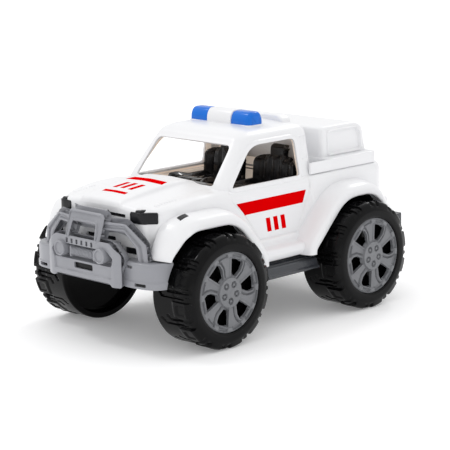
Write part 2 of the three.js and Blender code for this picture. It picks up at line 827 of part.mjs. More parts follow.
// Bar across both carriers of an axle, with a tongue into each slot and a hole for each screw
function axleKeeper(end) {
  const x = axleX[end];
  const plan = rectangle(x - carrierHalfLength, x + carrierHalfLength, -carrierOuter, carrierOuter);
  const bar = alongZ(outline(plan), keeperBottom, keeperTop);
  const tongueHalf = slotRadius - fit;
  const tongue = box(x - tongueHalf, x + tongueHalf, carrierInner, carrierOuter,
    keeperTop - over, axleZ - slotRadius);
  const holes = keeperScrewPlaces.map(([lead, y]) => rodZ(pilotRadius, x + lead, y, 0, axleZ, 6));
  return cut(join(bar, bothSides(tongue)), ...holes);
}

// A pan-head screw that goes up from its seat
function screw(x, y, seat) {
  const under = seat - fit;
  return join(
    rodZ(screwHeadRadius, x, y, under - screwHeadHeight, under, 6),
    rodZ(screwRadius, x, y, under - over, under + screwLength - over, 6),
  );
}

// Front bumper: winch plate with lamps, leaning hoop, double-tube side bars and wings round the corners
const platePost = { width: 11.5, ease: 3, setback: 4.5 };
const plateCorner = { run: 14.5, drop: 8.5 };
const plateEdge = 1.2;
const plateLift = 1.5;
const recess = { half: 41, low: 28.5, tip: 44.5, middle: 35.5, topHalf: 36, high: 42.5 };
const notch = { low: 44, high: 48 };
const lowSlot = { half: 13.5, low: 20, high: 25.5, depth: 8 };

function winchPlate() {
  const foot = axleZ + wingBottomRise;
  const top = axleZ + plateTopRise;
  const inner = plateHalf - platePost.width;
  const face = outline(symmetric([
    [inner - platePost.ease, bodyBottom + plateLift], [inner, foot], [plateHalf, foot],
    [plateHalf, top - plateCorner.drop], [plateHalf - plateCorner.run, top],
  ]));
  const sideX = plateFrontX - platePost.setback;
  const plan = alongZ(outline([
    [plateBackX, -plateHalf], [sideX, -plateHalf], [plateFrontX, -inner],
    [plateFrontX, inner], [sideX, plateHalf], [plateBackX, plateHalf],
  ]), 0, through);
  const recessX = plateFrontX - plateRecessDepth;
  const toolEnd = plateFrontX + over;
  const hollow = alongX(outline(symmetric([
    [recess.half, axleZ + recess.low],
    [recess.tip, axleZ + recess.middle],
    [recess.topHalf, axleZ + recess.high],
  ])), recessX, toolEnd);
  const slotFace = rectangle(-lowSlot.half, lowSlot.half, axleZ + lowSlot.low, axleZ + lowSlot.high);
  const slot = alongX(outline(slotFace, 1.5), plateFrontX - lowSlot.depth, toolEnd);
  const notches = Array.from({ length: slotCount }, (unused, i) => {
    const y = (i - (slotCount - 1) / 2) * slotPitch;
    return box(recessX, toolEnd, y - slotWidth / 2, y + slotWidth / 2, axleZ + notch.low, axleZ + notch.high);
  });
  const blank = alongX(face, plateBackX, plateFrontX, plateEdge).intersect(plan);
  const plate = cut(blank, hollow, slot, ...notches);
  const drumX = recessX + drumRadius - drumSink;
  const drumZ = axleZ + drumRise;
  const drum = rodY(drumRadius, drumX, drumZ, -drumHalf, drumHalf, 10);
  const fins = Array.from({ length: finCount }, (unused, i) => {
    const y = (i / (finCount - 1) - 0.5) * (2 * drumHalf - finWidth);
    return box(recessX - drumSink, drumX + drumRadius - drumSink, y - finWidth / 2, y + finWidth / 2,
      drumZ - drumRadius, drumZ + drumRadius);
  });
  const lamps = [-lampSpan / 2, lampSpan / 2].map((y) => (
    rodX(lampRadius, y, axleZ + lampRise, recessX - over, plateFrontX + lampStand, 12)));
  return join(plate, drum, ...fins, ...lamps);
}

const hoopLeg = { foot: 7.5, top: 8.7, splay: 1.3 };
const hoopWindow = { sill: 2.5, head: 15.5, round: 2 };
const hoopGroove = { inset: 4, from: 3.4, to: 6.2, depth: 1.4 };
const hoopRoot = 6;
const hoopEdge = 1.5;

function bullHoop() {
  const top = axleZ + hoopTopRise;
  const bottom = axleZ + plateTopRise;
  const footHalf = hoopHalf + hoopLeg.splay;
  const opening = outline(symmetric([
    [footHalf - hoopLeg.foot, bottom + hoopWindow.sill], [hoopHalf - hoopLeg.top, bottom + hoopWindow.head],
  ]), hoopWindow.round);
  const grooveHalf = hoopHalf - hoopGroove.inset;
  const groove = outline(rectangle(-grooveHalf, grooveHalf, top - hoopGroove.to, top - hoopGroove.from));
  const frame = outline(symmetric([
    [footHalf, bottom - hoopRoot], [hoopHalf, top],
  ]), [0, 5, 5, 0], [opening]);
  const solid = cut(alongX(frame, plateFrontX - hoopDepth, plateFrontX, hoopEdge),
    alongX(groove, plateFrontX - hoopGroove.depth, plateFrontX + over));
  return swept(solid, 2, -hoopLean, bottom);
}

// A band of the given width along a bent line in (y, z)
function bandOutline(line, width) {
  const last = line.length - 1;
  const normals = line.map((point, i) => {
    const before = new THREE.Vector2(...line[Math.max(i - 1, 0)]);
    const along = new THREE.Vector2(...line[Math.min(i + 1, last)]).sub(before).normalize();
    return [-along.y, along.x];
  });
  const edge = (side) => line.map(([u, v], i) => (
    [u + side * normals[i][0] * width / 2, v + side * normals[i][1] * width / 2]));
  return [...edge(1), ...edge(-1).reverse()];
}

// Middle line of a side bar: from behind the hoop, down across the corner and onto the wing
const barLine = [[hoopHalf - 4, 67], [44, 67.5], [69.5, 50.5], [69.5, wingTopRise - 4]];
const barRound = 5;
const barEdge = 1.6;
const barGrooveDepth = 2;

function sideBar() {
  const line = barLine.map(([y, rise]) => [y, axleZ + rise]);
  const x1 = plateFrontX - barSetback;
  const x0 = x1 - barDepth;
  const round = barRound;
  const band = outline(bandOutline(line, barWidth), [0, round, round, 0, 0, round, round, 0]);
  const groove = outline(bandOutline(line, barGroove));
  const solid = cut(alongX(band, x0, x1, barEdge, 1), alongX(groove, x1 - barGrooveDepth, x1 + over));
  return swept(solid, 1, -barSweep, hoopHalf);
}

// The wing's front edge in plan, as setbacks from the winch plate's face and half widths, and its dark slots,
// as half widths and drops from its top. Its end is cut round the tyre.
const wingRoot = { inner: 40, outer: 74 };
const wingEdge = [[8, wingRoot.inner], [8, 66], [13, 88]];
const wingEnd = { lead: tyreRadius - 4, run: 10, draw: 2, inner: 80 };
const wingEase = 2;
const wingSlots = [{ y: [56, 64], drop: [5.5, 3] }, { y: [68, 82], drop: [21, 18] }];

function wing() {
  const back = noseX + fit;
  const endX = frontAxleX + wingEnd.lead;
  const plan = outline([
    [back, wingRoot.inner], ...wingEdge.map(([setback, y]) => [plateFrontX - setback, y]),
    [endX + wingEnd.run, wingHalf - wingEnd.draw], [endX, wingHalf],
    [endX, wingEnd.inner], [back, wingRoot.outer],
  ], [0, 0, 8, 10, 10, 3, 2, 2]);
  const slots = wingSlots.map(({ y, drop }) => (
    box(plateBackX, plateFrontX, y[0], y[1], wingTop - drop[0], wingTop - drop[1])));
  const tyreRoom = rodY(tyreRadius + wingTyreGap, frontAxleX, axleZ, linerHalf, through, wheelSides);
  return cut(alongZ(plan, axleZ + wingBottomRise, wingTop, wingEase), ...slots, tyreRoom);
}

function frontBumper() {
  const padBack = plateBackX + over;
  const padFoot = floorTop + fit;
  const tongueHalf = bumperTongueHalf + fit;
  const pad = box(noseX + fit, padBack, -bumperPadHalf, bumperPadHalf, padFoot, wingTop - barGrooveDepth);
  const tongueRoom = box(0, padBack, -tongueHalf, tongueHalf, 0, padFoot);
  return cut(join(winchPlate(), bullHoop(), bothSides(join(sideBar(), wing())), pad), tongueRoom);
}

// Rear bumper with a rimmed tray on top
function rearBumper() {
  const x0 = rearAxleX - rearReach;
  const x1 = rearAxleX - tyreRadius - 2;
  const top = axleZ + rearBumperTopRise;
  const plan = outline(rectangle(x0, x1, -rearBumperHalf, rearBumperHalf), [9, 2, 2, 9]);
  const rim = rearBumperRim;
  const tray = outline(rectangle(x0 + rim, x1 - rim, -rearBumperHalf + rim, rearBumperHalf - rim), 5);
  const pad = box(x1 - over, tailX - fit, -linerHalf, linerHalf, bodyBottom, top);
  const solid = join(alongZ(plan, axleZ + rearBumperBottomRise, top, 1.5), pad);
  return solid.subtract(alongZ(tray, top - rim, top + over));
}

// Ribbed step on the edge of the floor below a door: its section runs from the floor's edge out and
// back, as distances in from the outer edge and drops from the top.
const stepTongue = 4.2;
const stepSection = [[12, 6], [9, 14.5], [3, 15], [0, 8], [1, 2.5], [5, 0]];
const stepRibInset = 7;

function sideStep() {
  const inner = waistHalf + fit;
  const top = floorTop - stepDrop;
  const shape = outline([
    [inner, top - stepTongue], ...stepSection.map(([y, drop]) => [stepHalf - y, top - drop]), [inner, top],
  ], [0, 3, 2, 3, 4, 2, 2, 0]);
  const ribs = Array.from({ length: stepRibCount }, (unused, i) => {
    const y = stepHalf - stepRibInset - i * stepRibPitch;
    return box(-through, through, y - stepRibWidth / 2, y + stepRibWidth / 2, top - stepRibDepth, top + over);
  });
  const rear = rearAxleX + tyreRadius + stepTyreGap.rear;
  const front = frontAxleX - tyreRadius - stepTyreGap.front;
  return cut(alongX(shape, rear, front, 1, 1), ...ribs);
}

// Cab floor with side walls on two ribs, dashboard and seats
const cabFloorTop = axleZ + cabFloorRise + cabFloorThickness;

function interiorTub() {
  const x0 = cabRearX + tubEndGap;
  const x1 = cowlX - tubEndGap;
  const bottom = cabFloorTop - cabFloorThickness;
  const wallTop = axleZ + tubWallRise;
  const ribOuter = linerHalf - tubRibInset;
  const floor = box(x0, x1, -tubHalf, tubHalf, bottom, cabFloorTop);
  const side = box(x0, x1, tubInner, tubHalf, bottom, wallTop);
  const rib = box(x0 + tubEndGap, x1 - tubEndGap, ribOuter - tubRibWidth, ribOuter,
    floorTop + fit, bottom + over);
  const back = box(x0, x0 + wall, -tubHalf, tubHalf, bottom, wallTop);
  return join(floor, bothSides(join(side, rib)), back);
}

// The dashboard's side, as distances behind its front and heights above the cab floor or below its top
const dashLip = { top: 12, chin: 8, knee: 18, foot: 16 };

function dashboard() {
  const x1 = cowlX - dashGap;
  const half = tubInner - fit;
  const foot = cabFloorTop + fit;
  const top = axleZ + dashRise;
  const shape = outline([
    [x1 - dashLip.foot, foot], [x1, foot], [x1, top], [x1 - dashLip.top, top],
    [x1 - dashDepth, top - dashLip.chin], [x1 - dashDepth, top - dashLip.knee],
  ], [0, 0, 2, 3, 3, 3]);
  return alongY(shape, -half, half);
}

// A seat's side: the cushion, as leads and heights from the foot of the backrest, and the backrest's top
const cushionLine = [[-13, 0], [44, 0], [46, 10], [42, 16], [7, 12], [0, 18]];
const backrestLine = [[-3, 3], [-7, 0], [-14, 3]];
const seatRib = { foot: 26, top: 8, depth: 2.6, reach: 6 };
const headrestBack = { rear: 13, front: 4, sunk: 4, round: 4, edge: 1.5 };

function seat() {
  const x = cabRearX + seatLead;
  const foot = cabFloorTop + fit;
  const top = axleZ + seatBackRise;
  const profile = outline([
    ...cushionLine.map(([lead, height]) => [x + lead, foot + height]),
    ...backrestLine.map(([lead, drop]) => [x + lead, top - drop]),
  ], [0, 0, 0, 4, 6, 6, 0, 0, 0]);
  const ribs = [-1, 0, 1].map((i) => {
    const y = seatCentre + i * seatRibPitch;
    return box(x - seatRib.depth, x + seatRib.reach, y - seatRibWidth / 2, y + seatRibWidth / 2,
      foot + seatRib.foot, top - seatRib.top);
  });
  const { rear, front, sunk, round, edge } = headrestBack;
  const restHalf = headrestWidth / 2;
  const restHeight = axleZ + headrestRise - top + sunk;
  const restFoot = top - sunk;
  const restFace = rectangle(seatCentre - restHalf, seatCentre + restHalf, restFoot, restFoot + restHeight);
  const rest = alongX(outline(restFace, round), x - rear, x - front, Math.min(edge, restHeight / 10), 1);
  return cut(join(alongY(profile, tunnelHalf, seatOuter, 1.2), rest), ...ribs);
}

// Wheels, drawn with the outer face at y = 0 and the axle on the Y axis
function tyre() {
  const seatRadius = rimRadius + fit;
  const webFace = -rimInset - rimThickness - fit;
  const dishFace = -tyreWidth + innerDish;
  const bore = axleRadius + fit;
  const half = [
    [sidewallRadius, 0],
    [shoulderRadius, -shoulderWidth * 0.4],
    [tyreRadius, -shoulderWidth],
  ];
  const lipRadius = tyreRadius - innerRim;
  const inner = [[tyreRadius, -tyreWidth], [lipRadius, -tyreWidth]];
  const profile = [
    [bore, webFace], [seatRadius, webFace], [seatRadius, 0], ...half, ...inner,
    [lipRadius, dishFace], [wheelHubRadius, dishFace], [wheelHubRadius, -tyreWidth],
    [bore, -tyreWidth], [bore, webFace],
  ].reverse();
  const gaps = Array.from({ length: lugCount }, (unused, i) => {
    const gap = new THREE.BoxGeometry(lugGapWidth, lugLength, lugGapDepth * 3);
    gap.translate(0, -lugLength / 2, tyreRadius + lugGapDepth / 2);
    gap.rotateY(i * 2 * Math.PI / lugCount);
    return toSolid(gap);
  });
  return cut(turned(profile, wheelSides), ...gaps);
}

function rim() {
  const face = -rimInset;
  const dish = face - rimDish;
  const back = face - rimThickness;
  const profile = [
    [0, back], [rimRadius, back], [rimRadius, face], [rimRadius - rimLip, face],
    [rimRadius - rimLip - dishSlope, dish], [hubRadius + dishSlope, dish], [hubRadius, face], [0, face],
  ];
  const windows = Array.from({ length: spokeCount }, (unused, i) => {
    const inner = windowInnerWidth / 2;
    const outer = windowOuterWidth / 2;
    const shape = outline([
      [windowInner, -inner], [windowOuter - windowCorner.run, -outer],
      [windowOuter, -outer + windowCorner.draw], [windowOuter, outer - windowCorner.draw],
      [windowOuter - windowCorner.run, outer], [windowInner, inner],
    ]);
    const turn = THREE.MathUtils.degToRad(windowTurn + i * 360 / spokeCount);
    return toSolid(extrude(shape, -through, through).applyMatrix4(turnToY).rotateY(turn));
  });
  const nuts = Array.from({ length: hubNutCount }, (unused, i) => {
    const angle = i * 2 * Math.PI / hubNutCount;
    return rodY(hubNutRadius, hubNutCircle * Math.cos(angle), hubNutCircle * Math.sin(angle),
      dish, face + hubNutHeight, 6);
  });
  return join(cut(turned(profile, wheelSides), ...windows), ...nuts);
}

// Materials
function plastic(color, roughness) {
  return new THREE.MeshStandardMaterial({ color, roughness, metalness: 0 });
}

const whitePlastic = plastic(0xf2f2f4, 0.35);
const greyPlastic = plastic(0xa9abb3, 0.4);
const rimPlastic = plastic(0x7b7d82, 0.45);
const tyrePlastic = plastic(0x222224, 0.45);
const slatePlastic = plastic(0x44474d, 0.45);
const blackPlastic = plastic(0x1b191a, 0.3);
const bluePlastic = plastic(0x0a70da, 0.15);
const steel = new THREE.MeshStandardMaterial({ color: 0xb8babd, roughness: 0.3, metalness: 1 });

// The assembly
const car = new THREE.Group();

function addPart(name, solid, material) {
  const mesh = new THREE.Mesh(toGeometry(solid), material.clone());
  mesh.name = name;
  car.add(mesh);
  return mesh;
}

function addPair(name, solid, material) {
  addPart(`${name}_left`, solid, material);
  addPart(`${name}_right`, mirrored(solid), material);
}

addPart('body_shell', bodyShell(), whitePlastic);
addPart('rear_canopy', rearCanopy(), whitePlastic);
addPart('lightbar_base', lightbarBase(), whitePlastic);
addPair('beacon_lens', beaconLens(), bluePlastic);
addPart('front_bumper', frontBumper(), greyPlastic);
addPart('grille_insert', grilleInsert(), blackPlastic);
addPair('headlight', headlightPiece(), blackPlastic);
addPair('indicator', indicatorPiece(), blackPlastic);
addPart('rear_bumper', rearBumper(), slatePlastic);
addPair('side_step', sideStep(), slatePlastic);
addPart('chassis_pan', chassisPan(), blackPlastic);
addPart('interior_tub', interiorTub(), whitePlastic);
addPart('dashboard', dashboard(), blackPlastic);
addPair('seat', seat(), blackPlastic);

screwPlaces.forEach((x, i) => {
  addPair(`body_screw_${['front', 'rear'][i]}`, screw(x, screwPostHalf, floorBottom), steel);
});

const tyreSolid = tyre();
const rimSolid = rim();
const axleHalf = tyreFace - rimInset - rimThickness - fit;
Object.entries(axleX).forEach(([end, x]) => {
  addPart(`${end}_axle`, rodY(axleRadius, x, axleZ, -axleHalf, axleHalf, 12), steel);
  addPart(`${end}_axle_keeper`, axleKeeper(end), blackPlastic);
  keeperScrewPlaces.forEach(([lead, y], i) => {
    addPart(`${end}_keeper_screw_${i + 1}`, screw(x + lead, y, keeperBottom), steel);
  });
  [['left', 1], ['right', -1]].forEach(([side, way]) => {
    const wheel = new THREE.Group();
    wheel.position.set(x, way * tyreFace, axleZ);
    wheel.rotation.z = way > 0 ? 0 : Math.PI;
    wheel.add(addPart(`tyre_${end}_${side}`, tyreSolid, tyrePlastic));
    wheel.add(addPart(`rim_${end}_${side}`, rimSolid, rimPlastic));
    car.add(wheel);
  });
});

export default car;
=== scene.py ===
import math
import bmesh
import bpy
import numpy as np
from mathutils import Matrix, Vector


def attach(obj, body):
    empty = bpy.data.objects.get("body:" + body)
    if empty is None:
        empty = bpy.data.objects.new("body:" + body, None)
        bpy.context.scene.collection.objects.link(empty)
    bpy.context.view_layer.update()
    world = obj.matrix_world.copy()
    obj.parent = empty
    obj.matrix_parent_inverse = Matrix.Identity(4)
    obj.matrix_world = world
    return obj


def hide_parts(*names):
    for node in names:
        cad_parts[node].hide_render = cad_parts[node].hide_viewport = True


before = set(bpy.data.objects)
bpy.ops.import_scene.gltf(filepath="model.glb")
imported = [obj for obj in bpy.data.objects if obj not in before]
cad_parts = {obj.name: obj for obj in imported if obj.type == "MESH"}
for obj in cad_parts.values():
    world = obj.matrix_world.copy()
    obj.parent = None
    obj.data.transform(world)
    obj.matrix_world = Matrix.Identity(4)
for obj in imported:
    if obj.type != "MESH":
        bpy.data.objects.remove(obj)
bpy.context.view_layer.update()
scene = bpy.context.scene
mm = 0.001
far = 50.0  # stands for a cut that is nowhere near
print("frame loaded:", len(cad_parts), "nodes")

# shared places of the toy, in millimetres: +X forward, +Y its left, +Z up
car = {
    "axles": {"front": 100.0, "rear": -108.0},
    "axleZ": 56.0,
    "sill": 67.0,
    "nose": 159.5,
    "tyreFace": 116.0,
    "wall": 2.2,
    "middle": (0, 0, 100.0),
}

# meshing: how far apart points merge, and the angles from which edges stay sharp or get eased
meshing = {"merge": 2e-6, "sliver": 1e-6, "sharp": 38, "easeFrom": 50, "easeSegments": 2,
           "leastRadius": 0.2, "mostOfSide": 0.49}


# Shader maths


class Wire:
    # wraps an output socket, so that sums on values read as Python
    def __init__(self, tree, socket=None):
        self.tree = tree
        self.socket = socket

    def add(self, kind, settings=None, inputs=None, output=0):
        node = self.tree.nodes.new(kind)
        for key, value in (settings or {}).items():
            if key == "stops":
                self.setStops(node.color_ramp, value)
            else:
                setattr(node, key, value)
        for key, value in (inputs or {}).items():
            if isinstance(value, Wire):
                self.tree.links.new(value.socket, node.inputs[key])
            else:
                node.inputs[key].default_value = value
        return Wire(self.tree, node.outputs[output] if node.outputs else None)

    def setStops(self, ramp, stops):
        while len(ramp.elements) < len(stops):
            ramp.elements.new(0.5)
        for element, (place, tone) in zip(ramp.elements, stops):
            element.position = place
            element.color = (tone, tone, tone, 1)

    def math(self, operation, first, second):
        return self.add("ShaderNodeMath", {"operation": operation}, {0: first, 1: second})

    def __add__(self, other):
        return self.math("ADD", self, other)

    __radd__ = __add__

    def __sub__(self, other):
        return self.math("SUBTRACT", self, other)

    def __rsub__(self, other):
        return self.math("SUBTRACT", other, self)

    def __mul__(self, other):
        return self.math("MULTIPLY", self, other)

    __rmul__ = __mul__

    def mixColours(self, first, second):
        sockets = {0: self, 6: (*first, 1), 7: (*second, 1)}
        return self.add("ShaderNodeMix", {"data_type": "RGBA"}, sockets, output=2)


# Moulded finishes: a colour that drifts to its second tone in soft clouds, and the skin of the tool as bump.
# cloud and grain are pattern scales per metre; skin is the height of the grain in metres; shine is the gloss
# level, and glow is painted light: an emission that lightens a thin wall as though light came through it.
# What a finish leaves out is plain.
plainFinish = {"skin": 0.00006, "drift": 0.08, "coat": 0.0, "shine": 0.5, "glow": 0.0, "metal": 0.0,
               "cloudDetail": 3.0, "grainDetail": 2.0, "stops": [(0.3, 0.0), (0.7, 1.0)], "bump": 0.5,
               "coatRough": 0.08}
finishes = {
    "white": {"slot": "white_plastic", "colours": [(0.83, 0.832, 0.845), (0.808, 0.81, 0.826)],
              "cloud": 18, "grain": 1400, "skin": 0.00004, "rough": 0.32, "coat": 0.1},
    # the lining is white plastic given a warm beige that is painted shade, plus a painted glow that lightens
    # it
    "lining": {"slot": "white_plastic", "colours": [(0.72, 0.62, 0.535), (0.66, 0.565, 0.48)],
               "cloud": 22, "grain": 1200, "rough": 0.5, "shine": 0.3, "glow": 0.4},
    "blueLens": {"slot": "blue_lens", "colours": [(0.0, 0.16, 0.68), (0.0, 0.125, 0.58)],
                 "cloud": 40, "grain": 700, "skin": 0.00003, "rough": 0.2, "drift": 0.04, "shine": 0.3},
    "silver": {"slot": "grey_plastic", "colours": [(0.29, 0.294, 0.32), (0.266, 0.27, 0.294)],
               "cloud": 30, "grain": 2200, "rough": 0.34, "drift": 0.1, "coat": 0.1},
    "rim": {"slot": "rim_plastic", "colours": [(0.18, 0.184, 0.196), (0.16, 0.164, 0.175)],
            "cloud": 45, "grain": 2000, "rough": 0.38, "drift": 0.1, "shine": 0.4},
    "tyre": {"slot": "tyre_plastic", "colours": [(0.004, 0.004, 0.0043), (0.0025, 0.0025, 0.0028)],
             "cloud": 60, "grain": 900, "skin": 0.00008, "rough": 0.17, "drift": 0.07, "shine": 0.12},
    "slate": {"slot": "slate_plastic", "colours": [(0.045, 0.048, 0.056), (0.037, 0.04, 0.047)],
              "cloud": 40, "grain": 1800, "rough": 0.26, "coat": 0.1},
    "chassis": {"slot": "chassis_plastic", "colours": [(0.006, 0.006, 0.0065), (0.004, 0.004, 0.0045)],
                "cloud": 40, "grain": 1500, "skin": 0.00008, "rough": 0.45, "drift": 0.12, "shine": 0.2},
    "gloss": {"slot": "black_gloss", "colours": [(0.009, 0.0085, 0.0095), (0.006, 0.0055, 0.0065)],
              "cloud": 50, "grain": 700, "skin": 0.00005, "rough": 0.14, "drift": 0.06, "shine": 0.25},
    "lampDark": {"slot": "black_gloss", "colours": [(0.009, 0.0095, 0.012), (0.007, 0.0075, 0.009)],
                 "cloud": 60, "grain": 900, "skin": 0.00005, "rough": 0.28, "shine": 0.25},
    "redPrint": {"slot": "white_plastic", "colours": [(0.71, 0.0, 0.001), (0.67, 0.0, 0.001)],
                 "cloud": 60, "grain": 1600, "skin": 0.00003, "rough": 0.36, "drift": 0.06, "shine": 0.0},
    "steel": {"slot": "steel", "colours": [(0.5, 0.51, 0.53), (0.4, 0.41, 0.43)],
              "cloud": 200, "grain": 3000, "skin": 0.00003, "rough": 0.28, "drift": 0.1, "metal": 1.0},
}


def blankMaterial(name):
    # an empty material, its wire, and the object's own coordinates
    material = bpy.data.materials.new(name)
    material.use_nodes = True
    material.node_tree.nodes.clear()
    wire = Wire(material.node_tree)
    return material, wire, wire.add("ShaderNodeTexCoord", output="Object")


def makeFinish(name, look):
    # roughness is its middle value plus the drift times what each pattern departs from one half
    look = {**plainFinish, **look}
    material, wire, place = blankMaterial(name)
    cloud = wire.add("ShaderNodeTexNoise", None,
                     {"Vector": place, "Scale": look["cloud"], "Detail": look["cloudDetail"]}, "Fac")
    grain = wire.add("ShaderNodeTexNoise", None,
                     {"Vector": place, "Scale": look["grain"], "Detail": look["grainDetail"]}, "Fac")
    spread = wire.add("ShaderNodeValToRGB", {"stops": look["stops"]}, {"Fac": cloud})
    roughness = (cloud - 0.5) * look["drift"] + (grain - 0.5) * look["drift"] + look["rough"]
    skin = wire.add("ShaderNodeBump", None,
                    {"Height": grain, "Strength": look["bump"], "Distance": look["skin"]}, "Normal")
    tone = spread.mixColours(*look["colours"])
    shader = wire.add("ShaderNodeBsdfPrincipled", None, {
        "Base Color": tone,
        "Roughness": roughness,
        "Metallic": look["metal"],
        "Specular IOR Level": look["shine"],
        "Coat Weight": look["coat"],
        "Coat Roughness": look["coatRough"],
        "Emission Color": tone,
        "Emission Strength": look["glow"],
        "Normal": skin,
    })
    wire.add("ShaderNodeOutputMaterial", None, {"Surface": shader})
    return material


materials = {name: makeFinish(name, look) for name, look in finishes.items()}
print("finishes made:", len(materials))


# Outlines and curves


def unit(vectors):
    return vectors / np.maximum(np.linalg.norm(vectors, axis=-1, keepdims=True), 1e-9)


def rectangle(u, v):
    # the four corners between two spans
    return np.array([(u[0], v[0]), (u[1], v[0]), (u[1], v[1]), (u[0], v[1])], float)


def rounded(points, radii, steps=7):
    # each corner becomes a quadratic curve that starts and ends its radius away along the two sides
    points = np.asarray(points, float)
    toLast = np.roll(points, 1, 0) - points
    toNext = np.roll(points, -1, 0) - points
    lastLong = np.linalg.norm(toLast, axis=1)
    nextLong = np.linalg.norm(toNext, axis=1)
    wanted = np.maximum(np.broadcast_to(radii, len(points)), meshing["leastRadius"])
    reach = np.minimum(wanted, meshing["mostOfSide"] * np.minimum(lastLong, nextLong))[:, None]
    start = (points + toLast / lastLong[:, None] * reach)[:, None]
    end = (points + toNext / nextLong[:, None] * reach)[:, None]
    t = np.linspace(0, 1, steps)[None, :, None]
    curve = (1 - t) ** 2 * start + 2 * t * (1 - t) * points[:, None] + t ** 2 * end
    return curve.reshape(-1, points.shape[1])


def resampled(line, step):
    # even steps along the line's own length
    length = np.r_[0, np.cumsum(np.linalg.norm(np.diff(line, axis=0), axis=1))]
    along = np.linspace(0, length[-1], max(2, int(length[-1] / step) + 1))
    return np.stack([np.interp(along, length, column) for column in line.T], -1)


def resampledRing(outline, step):
    # the same for a closed outline, without its first point again
    return resampled(np.concatenate([outline, outline[:1]]), step)[:-1]


def bent(points, radii, step, steps=7):
    # open line through the points with eased corners, at even steps
    line = rounded(points, radii, steps)
    return resampled(line[steps - 1:1 - steps], step)


def mirrorOutline(points):
    # the points, then their mirror image about the first axis, as one closed outline
    points = np.asarray(points, float)
    return np.concatenate([points, points[::-1] * [-1, 1]])


def smoothStep(low, high, value):
    # a cubic from nought at low to one at high
    t = np.clip((value - low) / (high - low), 0, 1)
    return t * t * (3 - 2 * t)


def band(value, span, soft):
    # one between the ends of the span and nought outside, with soft sides
    low, high = span
    return smoothStep(low - soft, low + soft, value) * smoothStep(high + soft, high - soft, value)


def smoothCurve(knots, values, at):
    # monotone cubic: slopes are harmonic means of the rises beside a knot, and flat where these turn
    knots = np.asarray(knots, float)
    values = np.asarray(values, float)
    gap = np.diff(knots)[:, None]
    rise = np.diff(values, axis=0) / gap
    turn = rise[1:] * rise[:-1]
    total = rise[1:] + rise[:-1]
    between = np.where(turn > 0, 2 * turn / np.where(total == 0, 1, total), 0)
    slope = np.concatenate([rise[:1], between, rise[-1:]])
    i = np.clip(np.searchsorted(knots, at, side="right") - 1, 0, len(knots) - 2)
    t = ((at - knots[i]) / gap[i, 0])[:, None]
    first = (1 + 2 * t) * (1 - t) ** 2 * values[i] + t * (1 - t) ** 2 * gap[i] * slope[i]
    return first + t * t * (3 - 2 * t) * values[i + 1] + t * t * (t - 1) * gap[i] * slope[i + 1]


def placesAlong(counts):
    # places from nought to the count of legs, with the given count of steps in each leg
    return np.concatenate([i + np.arange(n) / n for i, n in enumerate(counts)] + [[float(len(counts))]])


def lineDistance(u, v, points):
    # distance to the nearest leg of a line
    points = np.asarray(points, float)
    a, leg = points[:-1], np.diff(points, axis=0)
    u, v = u[..., None], v[..., None]
    t = np.clip(((u - a[:, 0]) * leg[:, 0] + (v - a[:, 1]) * leg[:, 1]) / (leg ** 2).sum(1), 0, 1)
    return np.hypot(u - a[:, 0] - t * leg[:, 0], v - a[:, 1] - t * leg[:, 1]).min(-1)


def outlineDistance(u, v, outline):
    # distance to the nearest side, negative where a ray crosses the sides an odd count of times
    ring = np.concatenate([outline, outline[:1]])
    a, b = ring[:-1], ring[1:]
    gap = lineDistance(u, v, ring)
    u, v = u[..., None], v[..., None]
    side = b - a
    rise = np.where(side[:, 1] == 0, 1, side[:, 1])
    crossing = ((a[:, 1] > v) != (b[:, 1] > v)) & (u < a[:, 0] + side[:, 0] * (v - a[:, 1]) / rise)
    return np.where(crossing.sum(-1) % 2 == 1, -gap, gap)


# Surfaces: a part is its points in millimetres and its faces


def crossed(rows, cols):
    return np.meshgrid(rows, cols, indexing="ij")


def gridFaces(rows, cols, closeRows=False, closeCols=False):
    # a quad between each two neighbouring rows and columns, round to the first where the surface closes
    i, j = crossed(np.arange(rows - (not closeRows)), np.arange(cols - (not closeCols)))
    k, m = (i + 1) % rows, (j + 1) % cols
    return np.stack([i * cols + j, k * cols + j, k * cols + m, i * cols + m], -1).reshape(-1, 4)


def sheet(grid):
    # a whole grid as a part
    return grid.reshape(-1, 3), gridFaces(*grid.shape[:2])


def rowValues(values, grid):
    # one value for each row, as one more coordinate of the grid's points
    return np.broadcast_to(values[:, None, None], grid.shape[:2] + (1,))


def gridNormals(points):
    # the cross product of the two directions of the grid
    return unit(np.cross(np.gradient(points, axis=1), np.gradient(points, axis=0)))


def outNormals(points, middle):
    # the same, turned away from a middle point
    normals = gridNormals(points)
    return normals * np.sign((normals * (points - middle)).sum(-1).mean())


def sampled(points, row, col):
    # the grid's point at fractional rows and columns
    row = np.clip(row, 0, points.shape[0] - 1.001)
    col = np.clip(col, 0, points.shape[1] - 1.001)
    i, j = row.astype(int), col.astype(int)
    a, b = (row - i)[..., None], (col - j)[..., None]
    low = points[i, j] * (1 - b) + points[i, j + 1] * b
    high = points[i + 1, j] * (1 - b) + points[i + 1, j + 1] * b
    return low * (1 - a) + high * a


def trimmed(points, room):
    # room is the distance to the cut, negative in the opening: faces there go, and the loose edge slides
    # onto the cut, down the slope of the distance
    rows, cols = room.shape
    gone = room < 0
    faces = gridFaces(rows, cols)
    faces = faces[~gone.ravel()[faces].all(1)]
    used = np.zeros(rows * cols, bool)
    used[faces] = True
    slopeRow, slopeCol = np.gradient(room)
    steep = np.maximum(slopeRow ** 2 + slopeCol ** 2, 1e-6)
    row = np.arange(rows)[:, None] - np.clip(room * slopeRow / steep, -1, 1)
    col = np.arange(cols)[None, :] - np.clip(room * slopeCol / steep, -1, 1)
    slid = sampled(points, row, col)
    kept = np.where(gone[..., None], slid, points).reshape(-1, 3)[used]
    place = np.cumsum(used) - 1
    return kept, place[faces]


